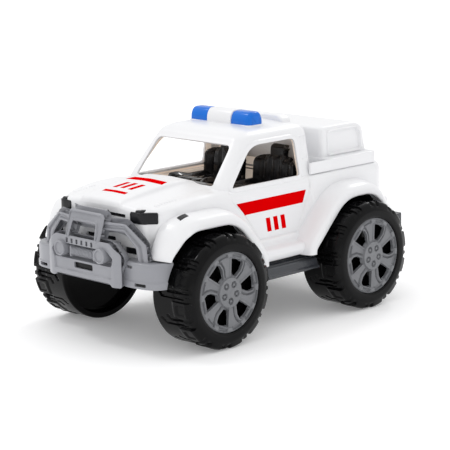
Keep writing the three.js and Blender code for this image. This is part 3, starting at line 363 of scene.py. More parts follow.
def facing(part, way=None, middle=None):
    # turns all faces round where they look against the given way, or towards a middle point
    points, faces = part
    corners = points[faces]
    normals = np.cross(corners[:, 2] - corners[:, 0], corners[:, 3] - corners[:, 1])
    outward = np.asarray(way, float) if middle is None else corners.mean(1) - middle
    return points, faces if (normals * outward).sum() > 0 else faces[:, ::-1]


def tube(rings, closeRows=False):
    # rings joined in turn and closed round, with one face over each open end
    rows, cols = rings.shape[:2]
    faces = gridFaces(rows, cols, closeRows, True).tolist()
    if not closeRows:
        faces += [list(range(cols)), list(range((rows - 1) * cols, rows * cols))]
    return rings.reshape(-1, 3), faces


def onAxis(axis, level, u, v):
    order = {"x": (level, u, v), "y": (u, level, v), "z": (u, v, level)}[axis]
    return np.stack(np.broadcast_arrays(*order), -1)


def easedEnds(low, high, ease, steps, between=()):
    # levels from low to high and the inset at each, which at both ends is a quarter circle
    angle = np.linspace(0, math.pi / 2, steps)
    rise, inset = ease * (1 - np.cos(angle)), ease * (1 - np.sin(angle))
    level = np.concatenate([low + rise, between, high - rise[::-1]])
    return level, np.concatenate([inset, np.zeros(len(between)), inset[::-1]])


def inwardOf(outline):
    # the way along the outline, turned a quarter to the inside, which the sign of its area tells
    along = unit(np.roll(outline, -1, 0) - np.roll(outline, 1, 0))
    u, v = outline.T
    area = np.sum(u * np.roll(v, -1) - np.roll(u, -1) * v)
    return np.stack([-along[:, 1], along[:, 0]], -1) * np.sign(area)


def slab(outline, low, high, ease, axis, steps=4):
    # the outline carried along an axis; at both rims it draws in along a quarter circle
    level, inset = easedEnds(low, high, ease, steps)
    ring = outline[None] + inwardOf(outline)[None] * inset[:, None, None]
    return tube(onAxis(axis, level[:, None], ring[..., 0], ring[..., 1]))


def cutPlate(keep, holes, step, height, axis, way=1):
    # a grid over the outline's box, kept inside the outline and outside its holes, raised by a height
    # function and turned to face along the axis, or against it
    low = keep.min(0) - 2 * step
    count = ((keep.max(0) + 2 * step - low) / step).astype(int) + 1
    u, v = crossed(low[0] + step * np.arange(count[0]), low[1] + step * np.arange(count[1]))
    room = -outlineDistance(u, v, keep)
    for hole in holes:
        room = np.minimum(room, outlineDistance(u, v, hole))
    points, faces = trimmed(np.stack([u, v, 0 * u], -1), room)
    u, v = points[:, 0], points[:, 1]
    return facing((onAxis(axis, height(u, v), u, v), faces), way=onAxis(axis, way, 0, 0))


def spun(profile, sides, centre, axis):
    # a closed profile of (radius, level) points turned about an axis
    angle = np.linspace(0, 2 * math.pi, sides, endpoint=False)[:, None]
    u = centre[0] + profile[None, :, 0] * np.cos(angle)
    v = centre[1] + profile[None, :, 0] * np.sin(angle)
    return tube(onAxis(axis, profile[None, :, 1], u, v), closeRows=True)


def faceRows(faces):
    return faces.tolist() if isinstance(faces, np.ndarray) else faces


def mirrored(part):
    # the part on the other side of the car, its faces turned round
    points, faces = part
    return points * [1, -1, 1], [face[::-1] for face in faceRows(faces)]


def bothSides(parts):
    return parts + [mirrored(part) for part in parts]


def easeEdges(piece, width, angle):
    rim = piece.modifiers.new("ease", "BEVEL")
    rim.width = width * mm
    rim.segments = meshing["easeSegments"]
    rim.limit_method = "ANGLE"
    rim.angle_limit = math.radians(angle)
    return rim


def addPiece(name, parts, look, replaced=(), body="car", wall=0, ease=0):
    # joins the parts in one mesh; a piece with a wall is an open sheet, thickened inwards
    points = np.concatenate([part[0] for part in parts])
    starts = np.cumsum([0] + [len(part[0]) for part in parts])
    faces = []
    for start, part in zip(starts, parts):
        faces += [[corner + int(start) for corner in row] for row in faceRows(part[1])]
    mesh = bpy.data.meshes.new(name)
    mesh.from_pydata((points * mm).tolist(), [], faces)
    shape = bmesh.new()
    shape.from_mesh(mesh)
    bmesh.ops.remove_doubles(shape, verts=shape.verts, dist=meshing["merge"])
    bmesh.ops.dissolve_degenerate(shape, edges=shape.edges, dist=meshing["sliver"])
    if not wall:
        bmesh.ops.recalc_face_normals(shape, faces=shape.faces)
    shape.to_mesh(mesh)
    shape.free()
    mesh.shade_smooth()
    mesh.set_sharp_from_angle(angle=math.radians(meshing["sharp"]))
    mesh.materials.append(materials[look])
    piece = bpy.data.objects.new(name, mesh)
    scene.collection.objects.link(piece)
    if wall:
        skin = piece.modifiers.new("wall", "SOLIDIFY")
        skin.thickness = wall * mm
        skin.offset = -1
    if ease:
        easeEdges(piece, ease, meshing["easeFrom"]).harden_normals = True
    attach(piece, body)
    if replaced:
        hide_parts(*replaced)
    return piece


def addPair(name, parts, look, node, wall=0, ease=0):
    # the parts as the left piece, and their mirror image as the right one
    otherParts = [mirrored(part) for part in parts]
    addPiece(name + "Left", parts, look, [node + "_left"], wall=wall, ease=ease)
    addPiece(name + "Right", otherParts, look, [node + "_right"], wall=wall, ease=ease)


# Lower body: sections from the tail to the nose. Each row gives x, the half width, and the heights of the
# fender shoulder, the valley beside the hood, the foot and edge of the raised dome, and its crown.
body = {
    "sections": [
        (-168, 73, 143, 143, 143, 143, 143),
        (-160, 77, 143, 143, 143, 143, 143),
        (-62, 77, 143, 143, 143, 143, 143),
        (-58, 75.5, 143, 143, 143, 143, 143),
        (54, 75.5, 143, 143, 143, 143, 143),
        (62, 76, 142.5, 144.8, 146.6, 148.4, 149.2),
        (76, 77, 144, 143, 147, 151.2, 152.2),
        (96.5, 77.5, 143.6, 142.2, 146, 150.6, 151.7),
        (124.5, 77, 140.5, 140.6, 143.4, 147.8, 148.8),
        (146.5, 69.5, 137, 139.2, 141, 144.2, 145.0),
        (154, 62, 135.5, 138.6, 140, 142.8, 143.4),
    ],
    "noseSection": (159.5, 54, 133, 134, 135, 136, 136.5),
    "noseTurns": [0, 22, 44, 66, 90],
    "stations": [(-168, -62, 2.2), (-62, 62, 1.05), (62, 112, 1.8), (112, 145, 0.7), (145, 153.5, 1.2)],
    "noseStations": 9,
    "shoulderRound": 7,
    "shoulderCorner": (0.25, 0.3),
    "valleyHalf": 50,
    "valleyRoom": 1,
    "domeFoot": 31,
    "domeEdge": 27.5,
    "samples": [50, 4, 4, 18, 12, 6, 10],
    "softening": 2,
    "doorRecess": 2.0,
    "doorSoft": 0.5,
    "door": [(-38, 87), (16, 87), (42, 122), (54, 130), (59, 144), (-58, 144), (-57, 127)],
    "doorRadii": [3, 3, 8, 8, 0, 0, 4],
    "sideFrom": 60,
    "sideTop": 141,
    "cabHole": rectangle((-66, 54), (-66, 66)),
    "ticks": {"x": (115, 143), "y": (56.5, 62), "pitch": 3.5, "width": 1.6, "depth": 0.9,
              "soft": 0.35, "endSoft": 0.5},
    "ease": 0.4,
}

# wheel arches, from the axle: points of the arch, and where it runs out over the bumper
arches = {
    "front": [(-63, 19), (-27, 61), (34, 61), (53, 36)],
    "rear": [(-59, 12), (-43, 41), (-20, 61), (22, 61), (67, 15)],
    "runOut": {"front": (80, 34.6), "rear": (-80, 33)},
    "foot": -60,
    "crownFrom": 50,
    "grow": 3,
    "corner": 10,
}
noseStart = body["sections"][-1][0]


def bodyValues(x):
    # the sections, with the nose drawn in along a quarter ellipse
    rows = np.array(body["sections"], float)
    nose = np.array(body["noseSection"], float)
    turn = np.radians(body["noseTurns"])[:, None]
    arc = np.concatenate([
        rows[-1, 0] + (nose[0] - rows[-1, 0]) * np.sin(turn),
        nose[1:] + (rows[-1, 1:] - nose[1:]) * np.cos(turn)], axis=1)
    rows = np.concatenate([rows[:-1], arc])
    return smoothCurve(rows[:, 0], rows[:, 1:], x)


def bodyGrid(x):
    # each section is a line through eight corners from the sill to the crown, mirrored, then softened
    half, shoulder, valley, foot, edge, crown = bodyValues(x).T
    eased = body["shoulderRound"]
    inShare, downShare = body["shoulderCorner"]
    same = np.ones_like(half)
    valleyY = np.minimum(body["valleyHalf"], half - eased - body["valleyRoom"])
    y = np.stack([half, half, half - inShare * eased, half - eased, valleyY,
                  body["domeFoot"] * same, body["domeEdge"] * same, 0 * same], -1)
    z = np.stack([car["sill"] * same, shoulder - eased, shoulder - downShare * eased, shoulder, valley,
                  foot, edge, crown], -1)
    corner = placesAlong(body["samples"])
    i = np.minimum(corner.astype(int), len(body["samples"]) - 1)
    t = (corner - i)[:, None]
    line = np.stack([y, z], -1)
    line = line[:, i] * (1 - t) + line[:, i + 1] * t
    line = np.concatenate([line, line[:, -2::-1] * [-1, 1]], 1)
    for turn in range(body["softening"]):
        line[:, 1:-1] = (line[:, :-2] + 2 * line[:, 1:-1] + line[:, 2:]) / 4
    return np.concatenate([rowValues(x, line), line], -1)


noseArc = np.linspace(0, math.pi / 2, body["noseStations"])
bodyX = np.concatenate([np.arange(*span) for span in body["stations"]]
                       + [noseStart + (car["nose"] - noseStart) * np.sin(noseArc)])
skinGrid = bodyGrid(bodyX)
skinNormals = outNormals(skinGrid, car["middle"])


def archOpening(end):
    # the arch above the wheel, grown a little, and run out over the bumper that covers the corner
    x, z = np.array(arches[end], float).T
    grow, foot = arches["grow"], arches["foot"]
    run = np.stack([x + np.where(x > 0, grow, -grow), z + np.where(z > arches["crownFrom"], grow, 0)], -1)
    outX, outZ = arches["runOut"][end]
    if end == "front":
        points = [(run[0, 0], foot), *run, (outX, outZ), (outX, foot)]
    else:
        points = [(outX, foot), (outX, outZ), (run[0, 0], outZ), *run[1:], (run[-1, 0], foot)]
    return rounded(np.array(points) + [car["axles"][end], car["axleZ"]], arches["corner"])


def hoodTicks(x, y):
    # short cross grooves in a row: a band in y times a train of narrow steps in x
    tick = body["ticks"]
    first, last = tick["x"]
    offset = np.abs(np.mod(x - first, tick["pitch"]) - tick["pitch"] / 2)
    half, soft = tick["width"] / 2, tick["soft"]
    train = smoothStep(half + soft, half - soft, offset) * (x > first) * (x < last)
    return tick["depth"] * band(np.abs(y), tick["y"], tick["endSoft"]) * train


x, y, z = np.moveaxis(skinGrid, -1, 0)
doorGap = outlineDistance(x, z, rounded(body["door"], body["doorRadii"]))
onSide = (np.abs(y) > body["sideFrom"]) & (z < body["sideTop"])
doorSink = body["doorRecess"] * smoothStep(body["doorSoft"], -body["doorSoft"], doorGap)
sink = doorSink * onSide + hoodTicks(x, y)
skin = skinGrid - skinNormals * sink[..., None]
room = outlineDistance(x, y, body["cabHole"])
for end in ("front", "rear"):
    room = np.minimum(room, outlineDistance(x, z, archOpening(end)))
lowerSkin = facing(trimmed(skin, room), middle=car["middle"])
addPiece("bodySides", [lowerSkin], "white", ["body_shell"], wall=car["wall"], ease=body["ease"])

# fascia below the hood's front edge, with the grille slot, the lower slot and two vents; and the tail's end
# wall
fascia = {
    "slots": [rectangle((-36, 36), (127.2, 130.6)), rectangle((-21, 21), (102.8, 107))],
    "vent": rectangle((33.4, 50.6), (93, 99.6)),
    "holeRadius": 1,
    "inset": 0.01,
    "step": 1.2,
    "tailStep": 1.9,
    "tailShare": 0.995,
    "tailSink": 0.5,
}
fasciaX = car["nose"] - fascia["inset"]
noseRing = bodyGrid(np.array([fasciaX]))[0, :, 1:]
fasciaHoles = [*fascia["slots"], fascia["vent"], fascia["vent"] * [-1, 1]]
fasciaHoles = [rounded(hole, fascia["holeRadius"]) for hole in fasciaHoles]
fasciaPart = cutPlate(noseRing, fasciaHoles, fascia["step"], lambda u, v: 0 * u + fasciaX, "x")
tailRing = skinGrid[0, :, 1:] * [fascia["tailShare"], 1] - [0, fascia["tailSink"]]
tailWall = cutPlate(tailRing, [], fascia["tailStep"], lambda u, v: 0 * u + bodyX[0], "x", way=-1)
addPiece("fascia", [fasciaPart], "white", ["body_shell"], wall=car["wall"], ease=body["ease"])
addPiece("tailWall", [tailWall], "white", ["body_shell"], wall=car["wall"], ease=body["ease"])

# Wheel-arch flares: a closed profile carried along the arch. Each profile row gives y, the share of the
# band's width and an offset from the arch line; the third column of the path is the band's width there.
flares = {
    "front": {"path": [(-63, 10.5, 10), (-63, 19, 10), (-27, 61, 11), (34, 61, 11), (53, 36, 5),
                       (53, 34.6, 5)],
              "radii": [0, 9, 17, 13, 1, 0], "lean": 8, "outward": 1},
    "rear": {"path": [(-59, 33, 5), (-53, 36, 6), (-43, 41, 8), (-20, 61, 11), (22, 61, 11), (67, 15, 10),
                      (67, 10.5, 10)],
             "radii": [0, 2, 8, 12, 18, 6, 0], "lean": 5, "outward": -1},
    "leanStart": 34,
    "leanSpan": 22,
    "leanY": (77, 97),
    "profile": [(70, 1, 3.6), (77, 1, 3.4), (86, 1, 2.6), (93, 1, 1.2), (98, 1, -0.8), (100, 1, -4.4),
                (100, 0, 1.6), (99, 0, 0.2), (96.5, 0, 0), (96.5, 0, 2.4), (97.6, 0, 4), (97, 1, -7.6),
                (93, 1, -3.6), (86, 1, -1), (77, 1, 0.8), (70, 1, 1)],
    "radii": [0.3, 4, 5, 4, 2, 1.8, 1.2, 0.8, 0.4, 0.6, 0.6, 2, 3, 4, 4, 0.3],
    "step": 1.6,
}


def flareGrid(end):
    # arch point plus outward normal times (share * band + offset), at the profile's y less the corner's lean
    look = flares[end]
    line = bent(look["path"], look["radii"], flares["step"])
    along = unit(np.gradient(line[:, :2], axis=0))
    profile = rounded(flares["profile"], flares["radii"], 5)[None]
    reach = profile[..., 1] * line[:, 2:] + profile[..., 2]
    x = car["axles"][end] + line[:, :1] - along[:, 1:] * reach
    z = car["axleZ"] + line[:, 1:2] + along[:, :1] * reach
    fromAxle = look["outward"] * (x - car["axles"][end])
    past = np.maximum(0, fromAxle - flares["leanStart"]) / flares["leanSpan"]
    low, high = flares["leanY"]
    share = np.clip((profile[..., 0] - low) / (high - low), 0, 1)
    return np.stack([x, profile[..., 0] - look["lean"] * past * share, z], -1)


flarePoints = {end: flareGrid(end) for end in ("front", "rear")}
flareParts = [tube(flarePoints[end]) for end in ("front", "rear")]
addPiece("archFlares", bothSides(flareParts), "white", ["body_shell"])

# rocker panels below the doors, with the two lips that the doors close on
rocker = {
    "profile": [(68, 67), (89, 67), (92, 74), (89.5, 79.3), (80.5, 80), (78.6, 81), (77.8, 86), (76, 87.6),
                (68, 87.6)],
    "radii": [0, 3, 4, 3, 1, 1.5, 1.5, 1.2, 0],
    "ends": (-40, 34),
    "ease": 0.6,
}
rockerPart = slab(rounded(rocker["profile"], rocker["radii"]), *rocker["ends"], rocker["ease"], "x")
addPiece("rockers", bothSides([rockerPart]), "white", ["body_shell"])

# tail block over the rear bumper and the lip across the rear of the roof
tail = {"plan": rectangle((-179, -152), (-78, 78)), "z": (88.1, 104), "corner": 7, "ease": 3}
roofLip = {"half": [(48, 181), (45.5, 198.5), (37, 202.4)], "x": (-61, -48), "corner": 3.5, "ease": 2}
tailPart = slab(rounded(tail["plan"], tail["corner"]), *tail["z"], tail["ease"], "z", 6)
lipLine = rounded(mirrorOutline(roofLip["half"]), roofLip["corner"])
lipPart = slab(lipLine, *roofLip["x"], roofLip["ease"], "x", 5)
addPiece("tailBlock", [tailPart], "white", ["body_shell"])
addPiece("roofLip", [lipPart], "white", ["body_shell"])
print("lower body made")

# Cab: level rings from below the doors' top to the crown of the roof; each row gives z, front x, rear x and
# half width. A raised rim runs round the side windows.
cab = {
    "slices": [
        (139, 66, -70, 71.5),
        (147, 61.8, -70, 69.4),
        (183.5, 32, -70, 62.4),
        (188.8, 27.5, -69.4, 60.2),
        (193.2, 20, -66, 53.5),
        (196, 8, -58, 40),
        (197.3, -8, -46, 20),
        (197.5, -24, -24.4, 0.2),
    ],
    "rows": [8, 36, 8, 6, 6, 6, 6],
    "counts": {"rear": 24, "corner": 10, "side": 100, "front": 43},
    "corner": 11,
    "middle": (-10, 0, 150),
    "window": [(-46, 143.5), (51.5, 143.5), (17.5, 181.2), (-45.4, 181.2)],
    "windowRadii": [4, 3, 13, 6],
    "windscreen": [(-55.5, 146.4), (55.5, 146.4), (52.2, 182.6), (-52.2, 182.6)],
    "windscreenRadii": [2.5, 2.5, 6, 6],
    "rimWidth": 4.0,
    "rimRaise": 1.4,
    "rimSoft": 0.7,
    "quarter": [(-65, 158), (-54, 158), (-54, 182), (-63, 182)],
    "quarterRadius": 2,
    "rearPanel": [(-48, 152), (48, 152), (43, 178), (-43, 178)],
    "rearRadius": 5,
    "panelSink": 1.7,
    "panelSoft": 0.6,
    "flankFrom": 30,
    "screenFrom": -20,
    "rearFrom": -60,
    "ease": 0.5,
    "liningGap": 0.3,
    "liningBack": 0.6,
    "liningWall": 0.4,
}


def levelsThrough(slices, rows):
    # the slices' values on a smooth curve, with the given count of rows between each two
    return smoothCurve(np.arange(len(slices)), slices, placesAlong(rows)).T


def levelRings(look):
    # a rounded rectangle for each level: half of it from the middle of the rear by the left to the middle of
    # the front, then mirrored; a corner takes at most nine tenths of its sides
    z, front, rear, half = levelsThrough(look["slices"], look["rows"])[..., None]
    corner = np.minimum(look["corner"], 0.9 * np.minimum(half, (front - rear) / 2))
    share = {name: (np.arange(n) / n)[None] for name, n in look["counts"].items()}
    back, side, face = share["rear"], share["side"], share["front"]
    quarter = share["corner"] * math.pi / 2
    pieces = [
        (rear + 0 * back, (half - corner) * back),
        (rear + corner - corner * np.cos(quarter), half - corner + corner * np.sin(quarter)),
        (rear + corner + (front - rear - 2 * corner) * side, half + 0 * side),
        (front - corner + corner * np.sin(quarter), half - corner + corner * np.cos(quarter)),
        (front + 0 * face, (half - corner) * (1 - face)),
        (front, 0 * front),
    ]
    x, y = [np.concatenate(column, 1) for column in zip(*pieces)]
    x = np.concatenate([x, x[:, -2::-1]], 1)
    y = np.concatenate([y, -y[:, -2::-1]], 1)
    return np.stack([x, y, np.broadcast_to(z, x.shape)], -1)


cabGrid = levelRings(cab)
cabNormals = outNormals(cabGrid, cab["middle"])
x, y, z = np.moveaxis(cabGrid, -1, 0)
onFlank = np.abs(y) > cab["flankFrom"]
windowLine = rounded(cab["window"], cab["windowRadii"])
screenLine = rounded(cab["windscreen"], cab["windscreenRadii"])
quarterLine = rounded(cab["quarter"], cab["quarterRadius"])
rearLine = rounded(cab["rearPanel"], cab["rearRadius"])
windowGap = np.where(onFlank, outlineDistance(x, z, windowLine), far)
screenGap = np.where(x > cab["screenFrom"], outlineDistance(y, z, screenLine), far)
quarterGap = np.where(onFlank, outlineDistance(x, z, quarterLine), far)
rearGap = np.where(x < cab["rearFrom"], outlineDistance(y, z, rearLine), far)
rimEdge = cab["rimWidth"] + cab["rimSoft"], cab["rimWidth"] - cab["rimSoft"]
panelEdge = cab["panelSoft"], -cab["panelSoft"]
lift = cab["rimRaise"] * smoothStep(*rimEdge, windowGap)
lift = lift - cab["panelSink"] * smoothStep(*panelEdge, np.minimum(quarterGap, rearGap))
cabSkin = cabGrid + cabNormals * lift[..., None]
cabOpen = np.minimum(windowGap, screenGap)
cabPart = facing(trimmed(cabSkin, cabOpen), middle=cab["middle"])
addPiece("cabShell", [cabPart], "white", ["body_shell"], wall=car["wall"], ease=cab["ease"])
# a thin sheet just inside the cab's wall, in the lining finish: painted shade and painted glow on the inner
# walls
liningSkin = cabGrid - cabNormals * (car["wall"] + cab["liningGap"])
liningPart = facing(trimmed(liningSkin, cabOpen - cab["liningBack"]), middle=cab["middle"])
addPiece("cabLining", [liningPart], "lining", ["body_shell"], wall=cab["liningWall"])

# Canopy over the bed: rings again, with a cut-back rear and a sunk panel in a raised bead on each side
canopy = {
    "slices": [
        (143.3, -89.8, -163.4, 62),
        (163, -90.4, -159.6, 61),
        (179.4, -91, -156.6, 60),
        (184.2, -92, -149.6, 58.8),
        (186, -95, -145, 55.5),
        (186.4, -118.4, -118.6, 0.1),
    ],
    "rows": [22, 18, 8, 6, 10],
    "counts": {"rear": 20, "corner": 9, "side": 70, "front": 22},
    "corner": 4.5,
    "middle": (-125, 0, 160),
    "panel": [(-150.5, 157.5), (-100.5, 157.5), (-101.5, 180), (-144, 180), (-149.5, 175)],
    "panelRadius": 2.5,
    "panelEdge": (0.3, -0.7),
    "flankFrom": 30,
    "sink": 1.8,
    "bead": 1.3,
    "beadEdge": (0.1, 0.6),
    "beadEnd": (2.3, 1.8),
    "boxEase": 0.5,
    "deck": rectangle((-162.5, -89.8), (-73.8, 73.8)),
    "deckRadii": [5, 1, 1, 5],
    "rail": rectangle((-91, -59.5), (70.8, 73.8)),
    "railRadius": 0.8,
    "deckZ": (142.6, 154.8),
    "ease": 1.1,
}
boxGrid = levelRings(canopy)
x, y, z = np.moveaxis(boxGrid, -1, 0)
panelLine = rounded(canopy["panel"], canopy["panelRadius"])
panelGap = np.where(np.abs(y) > canopy["flankFrom"], outlineDistance(x, z, panelLine), far)
bead = smoothStep(*canopy["beadEdge"], panelGap) * smoothStep(*canopy["beadEnd"], panelGap)
boxLift = canopy["bead"] * bead - canopy["sink"] * smoothStep(*canopy["panelEdge"], panelGap)
boxSkin = boxGrid + outNormals(boxGrid, canopy["middle"]) * boxLift[..., None]
boxPart = facing(sheet(boxSkin), middle=canopy["middle"])
deckPart = slab(rounded(canopy["deck"], canopy["deckRadii"]), *canopy["deckZ"], canopy["ease"], "z")
railPart = slab(rounded(canopy["rail"], canopy["railRadius"]), *canopy["deckZ"], canopy["ease"], "z")
addPiece("canopyBox", [boxPart], "white", ["rear_canopy"], wall=car["wall"], ease=canopy["boxEase"])
addPiece("canopyDeck", [deckPart, *bothSides([railPart])], "white", ["rear_canopy"])
print("cab and canopy made")

# Light bar: a plinth on the roof, a white bridge, and a blue lens on each side
lightBar = {
    "plinth": {"plan": rectangle((-25, -1), (-43.8, 43.8)), "z": (186, 197), "corner": 5, "ease": 1.2},
    "bridge": {"y": (-17, 17), "grow": 0.5, "from": (-13, 200), "ease": 0.8},
    "lens": [(-24, 186), (-2, 186), (-2.4, 203), (-6.4, 209.8), (-19.6, 209.8), (-23.4, 203)],
    "lensRadii": [4.6, 4.6, 5.4, 5.4, 5.4, 5.4],
    "lensY": (15, 43),
    "lensEase": 4.4,
}
plinth, bridge = lightBar["plinth"], lightBar["bridge"]
lensFace = np.array(lightBar["lens"])
bridgeFace = lensFace + bridge["grow"] * np.sign(lensFace - bridge["from"])
addPiece("lightBarBase", [
    slab(rounded(plinth["plan"], plinth["corner"]), *plinth["z"], plinth["ease"], "z"),
    slab(rounded(bridgeFace, lightBar["lensRadii"]), *bridge["y"], bridge["ease"], "y"),
], "white", ["lightbar_base"])
lensLine = rounded(lensFace, lightBar["lensRadii"])
lensPart = slab(lensLine, *lightBar["lensY"], lightBar["lensEase"], "y", 7)
addPair("beaconLens", [lensPart], "blueLens", "beacon_lens")

# Headlights: a dark bar carried round the corner of the nose, its ends rounded, and a ridge on top
headlight = {
    "inner": 43.6,
    "rear": (147.4, 69.0),
    "proud": 0.9,
    "profile": rectangle((-5.5, 5.5), (-4, 0)),
    "profileRadii": [0.4, 0.4, 1.2, 1.2],
    "z": 129.0,
    "step": 0.5,
    "cornerSteps": 24,
    "endRound": 1.4,
    "ridge": [(49.5, 133.8), (57.5, 133.8), (56.5, 136.6), (51, 136.6)],
    "ridgeX": (151, 159.6),
    "ridgeRadius": 1,
    "ridgeEase": 0.6,
}
noseX = noseStart + (car["nose"] - noseStart) * np.cos(np.linspace(0, math.pi / 2, headlight["cornerSteps"]))
nosePlan = np.stack([noseX, bodyValues(noseX)[:, 0]], -1)
planLine = np.concatenate([[(car["nose"], headlight["inner"])], nosePlan, [headlight["rear"]]])
planLine = resampled(planLine, headlight["step"])
planAlong = unit(np.gradient(planLine, axis=0))
planLine = planLine + headlight["proud"] * planAlong[:, ::-1] * [1, -1]
lampProfile = rounded(headlight["profile"], headlight["profileRadii"], 5)
fromEnd = headlight["step"] * np.minimum(np.arange(len(planLine)), np.arange(len(planLine))[::-1])
endRound = headlight["endRound"]
drawnIn = endRound - np.sqrt(endRound ** 2 - np.maximum(0, endRound - fromEnd) ** 2)
tall = 1 - drawnIn[:, None] / lampProfile[:, 0].max()
lampX = planLine[:, :1] + planAlong[:, 1:] * lampProfile[None, :, 1]
lampY = planLine[:, 1:] - planAlong[:, :1] * lampProfile[None, :, 1]
lampZ = headlight["z"] + lampProfile[None, :, 0] * tall
ridgeLine = rounded(headlight["ridge"], headlight["ridgeRadius"])
ridgePart = slab(ridgeLine, *headlight["ridgeX"], headlight["ridgeEase"], "x")
addPair("headlight", [tube(np.stack([lampX, lampY, lampZ], -1)), ridgePart], "lampDark", "headlight")

# Indicators: a lozenge cut from the front flare's own surface, standing a little proud of it
indicator = {"x": (123.8, 134.4), "y": (79.6, 86.6), "slant": 1.8, "proud": 0.5, "grid": (18, 12),
             "topCols": 22, "midCol": 12, "rowReach": 12, "wall": 1.2, "ease": 0.3}
flareTop = flarePoints["front"]
midX = flareTop[:, indicator["midCol"], 0]
middleRow = np.argmin(np.abs(midX - sum(indicator["x"]) / 2))
rowSpan, colSpan = crossed(*[np.linspace(0, 1, n) for n in indicator["grid"]])
(lowX, highX), (lowY, highY) = indicator["x"], indicator["y"]
wantedY = lowY + colSpan * (highY - lowY)
wantedX = lowX + rowSpan * (highX - lowX) + indicator["slant"] * (colSpan - 0.5)
topY = flareTop[middleRow, :indicator["topCols"], 1]
patchCol = np.interp(wantedY, topY, np.arange(len(topY)))
nearRows = np.arange(middleRow - indicator["rowReach"], middleRow + indicator["rowReach"] + 1)
patchRow = np.interp(wantedX, midX[nearRows], nearRows)
patch = sampled(flareTop, patchRow, patchCol)
patchOut = gridNormals(patch)
patchOut = patchOut * np.sign(patchOut[..., 2:].mean())
indicatorPart = facing(sheet(patch + patchOut * indicator["proud"]), way=(0, 0, 1))
addPair("indicator", [indicatorPart], "lampDark", "indicator", wall=indicator["wall"],
        ease=indicator["ease"])
print("lamps made")

# Red prints, on the hood and on both doors: slanted bands and rows of bars
prints = {
    "hood": [[(103, -26.4), (93, -23.6), (93, 23.6), (103, 26.4)], rectangle((142.6, 137.8), (-16.4, 16.4))],
    "hoodBar": [(130.5, -14.5), (113.5, -12.5), (113.5, -7), (130.5, -9)],
    "hoodBarStep": (0, 11),
    "door": [[(47.7, 128.3), (-52.3, 128.4), (-47.3, 115.8), (37.7, 115.6)]],
    "doorBar": [(7, 108), (1, 108), (-1.5, 93.8), (4.5, 93.8)],
    "doorBarStep": (-10.5, 0),
    "bars": 3,
    "raise": 0.14,
    "thick": 0.1,
    "cells": 30,
    "hoodRowX": 110,
}


def printGrids(place):
    # each print's four corners blended by two shares from nought to one
    bar, move = np.array(prints[place + "Bar"]), np.array(prints[place + "BarStep"])
    share = np.linspace(0, 1, prints["cells"])
    s, t = np.array(crossed(share, share))[..., None]
    bars = [bar + i * move for i in range(prints["bars"])]
    shapes = [np.array(shape, float) for shape in [*prints[place], *bars]]
    return [(a * (1 - s) + b * s) * (1 - t) + (d * (1 - s) + c * s) * t for a, b, c, d in shapes]


def hoodPrint(flat):
    # points of the body's own grid at the asked x and y, lifted a little
    row = np.interp(flat[..., 0], bodyX, np.arange(len(bodyX)))
    acrossY = skinGrid[np.searchsorted(bodyX, prints["hoodRowX"]), :, 1]
    col = np.interp(-flat[..., 1], -acrossY, np.arange(len(acrossY)))
    return facing(sheet(sampled(skinGrid, row, col) + [0, 0, prints["raise"]]), way=(0, 0, 1))


def doorPrint(flat, way):
    # points of the door's own grid at the asked x and z, lifted outwards
    row = np.interp(flat[..., 0], bodyX, np.arange(len(bodyX)))
    acrossZ = skin[np.searchsorted(bodyX, 0), :body["samples"][0], 2]
    col = np.interp(flat[..., 1], acrossZ, np.arange(len(acrossZ)))
    lifted = (sampled(skin, row, col) + [0, prints["raise"], 0]) * [1, way, 1]
    return facing(sheet(lifted), way=(0, way, 0))


hoodPrints = [hoodPrint(flat) for flat in printGrids("hood")]
doorPrints = [doorPrint(flat, way) for way in (1, -1) for flat in printGrids("door")]
addPiece("hoodPrints", hoodPrints, "redPrint", wall=prints["thick"])
addPiece("doorPrints", doorPrints, "redPrint", wall=prints["thick"])
print("prints made")

# Front bumper plate: posts and a top band round a set-back panel, with a deeper recess for the lamps and the
# drum, a row of upright slots and a lower slot
winch = {
    "outline": [(38.5, 68), (42, 65), (53, 65), (53, 97), (39.7, 107)],
    "outlineRadii": [1.5, 1.5, 2.5, 2.5, 2.5],
    "front": 185.0,
    "turnFrom": (44, 55),
    "turnBack": 3.0,
    "panel": rectangle((-41.4, 41.4), (72.5, 86)),
    "panelRadius": 1.5,
    "panelDepth": 1.6,
    "recess": [(-41, 84), (41, 84), (44.5, 91.5), (36, 98.4), (-36, 98.4), (-44.5, 91.5)],
    "recessRadius": 2,
    "recessDepth": 8.0,
    "sunkEdge": (0.5, -0.9),
    "rim": {"width": 1.4, "drop": 0.8},
    "slots": {"count": 6, "pitch": 7.3, "middle": -3.6, "width": 3, "z": (99.9, 104.6), "radius": 0.5},
    "lowSlot": rectangle((-13.5, 13.5), (76, 82)),
    "lowSlotRadius": 1.6,
    "step": 0.7,
    "thick": 11,
    "ease": 0.4,
}
plateRadii = winch["outlineRadii"] + winch["outlineRadii"][::-1]
plateOutline = rounded(mirrorOutline(winch["outline"]), plateRadii)
recessLine = rounded(winch["recess"], winch["recessRadius"])
sunkLine = rounded(winch["panel"], winch["panelRadius"])
slot = winch["slots"]
slotHalf = slot["width"] / 2
slotMiddles = slot["middle"] + (np.arange(slot["count"]) - (slot["count"] - 1) / 2) * slot["pitch"]
slotLines = [rectangle((y - slotHalf, y + slotHalf), slot["z"]) for y in slotMiddles]
plateHoles = [rounded(line, slot["radius"]) for line in slotLines]
plateHoles.append(rounded(winch["lowSlot"], winch["lowSlotRadius"]))


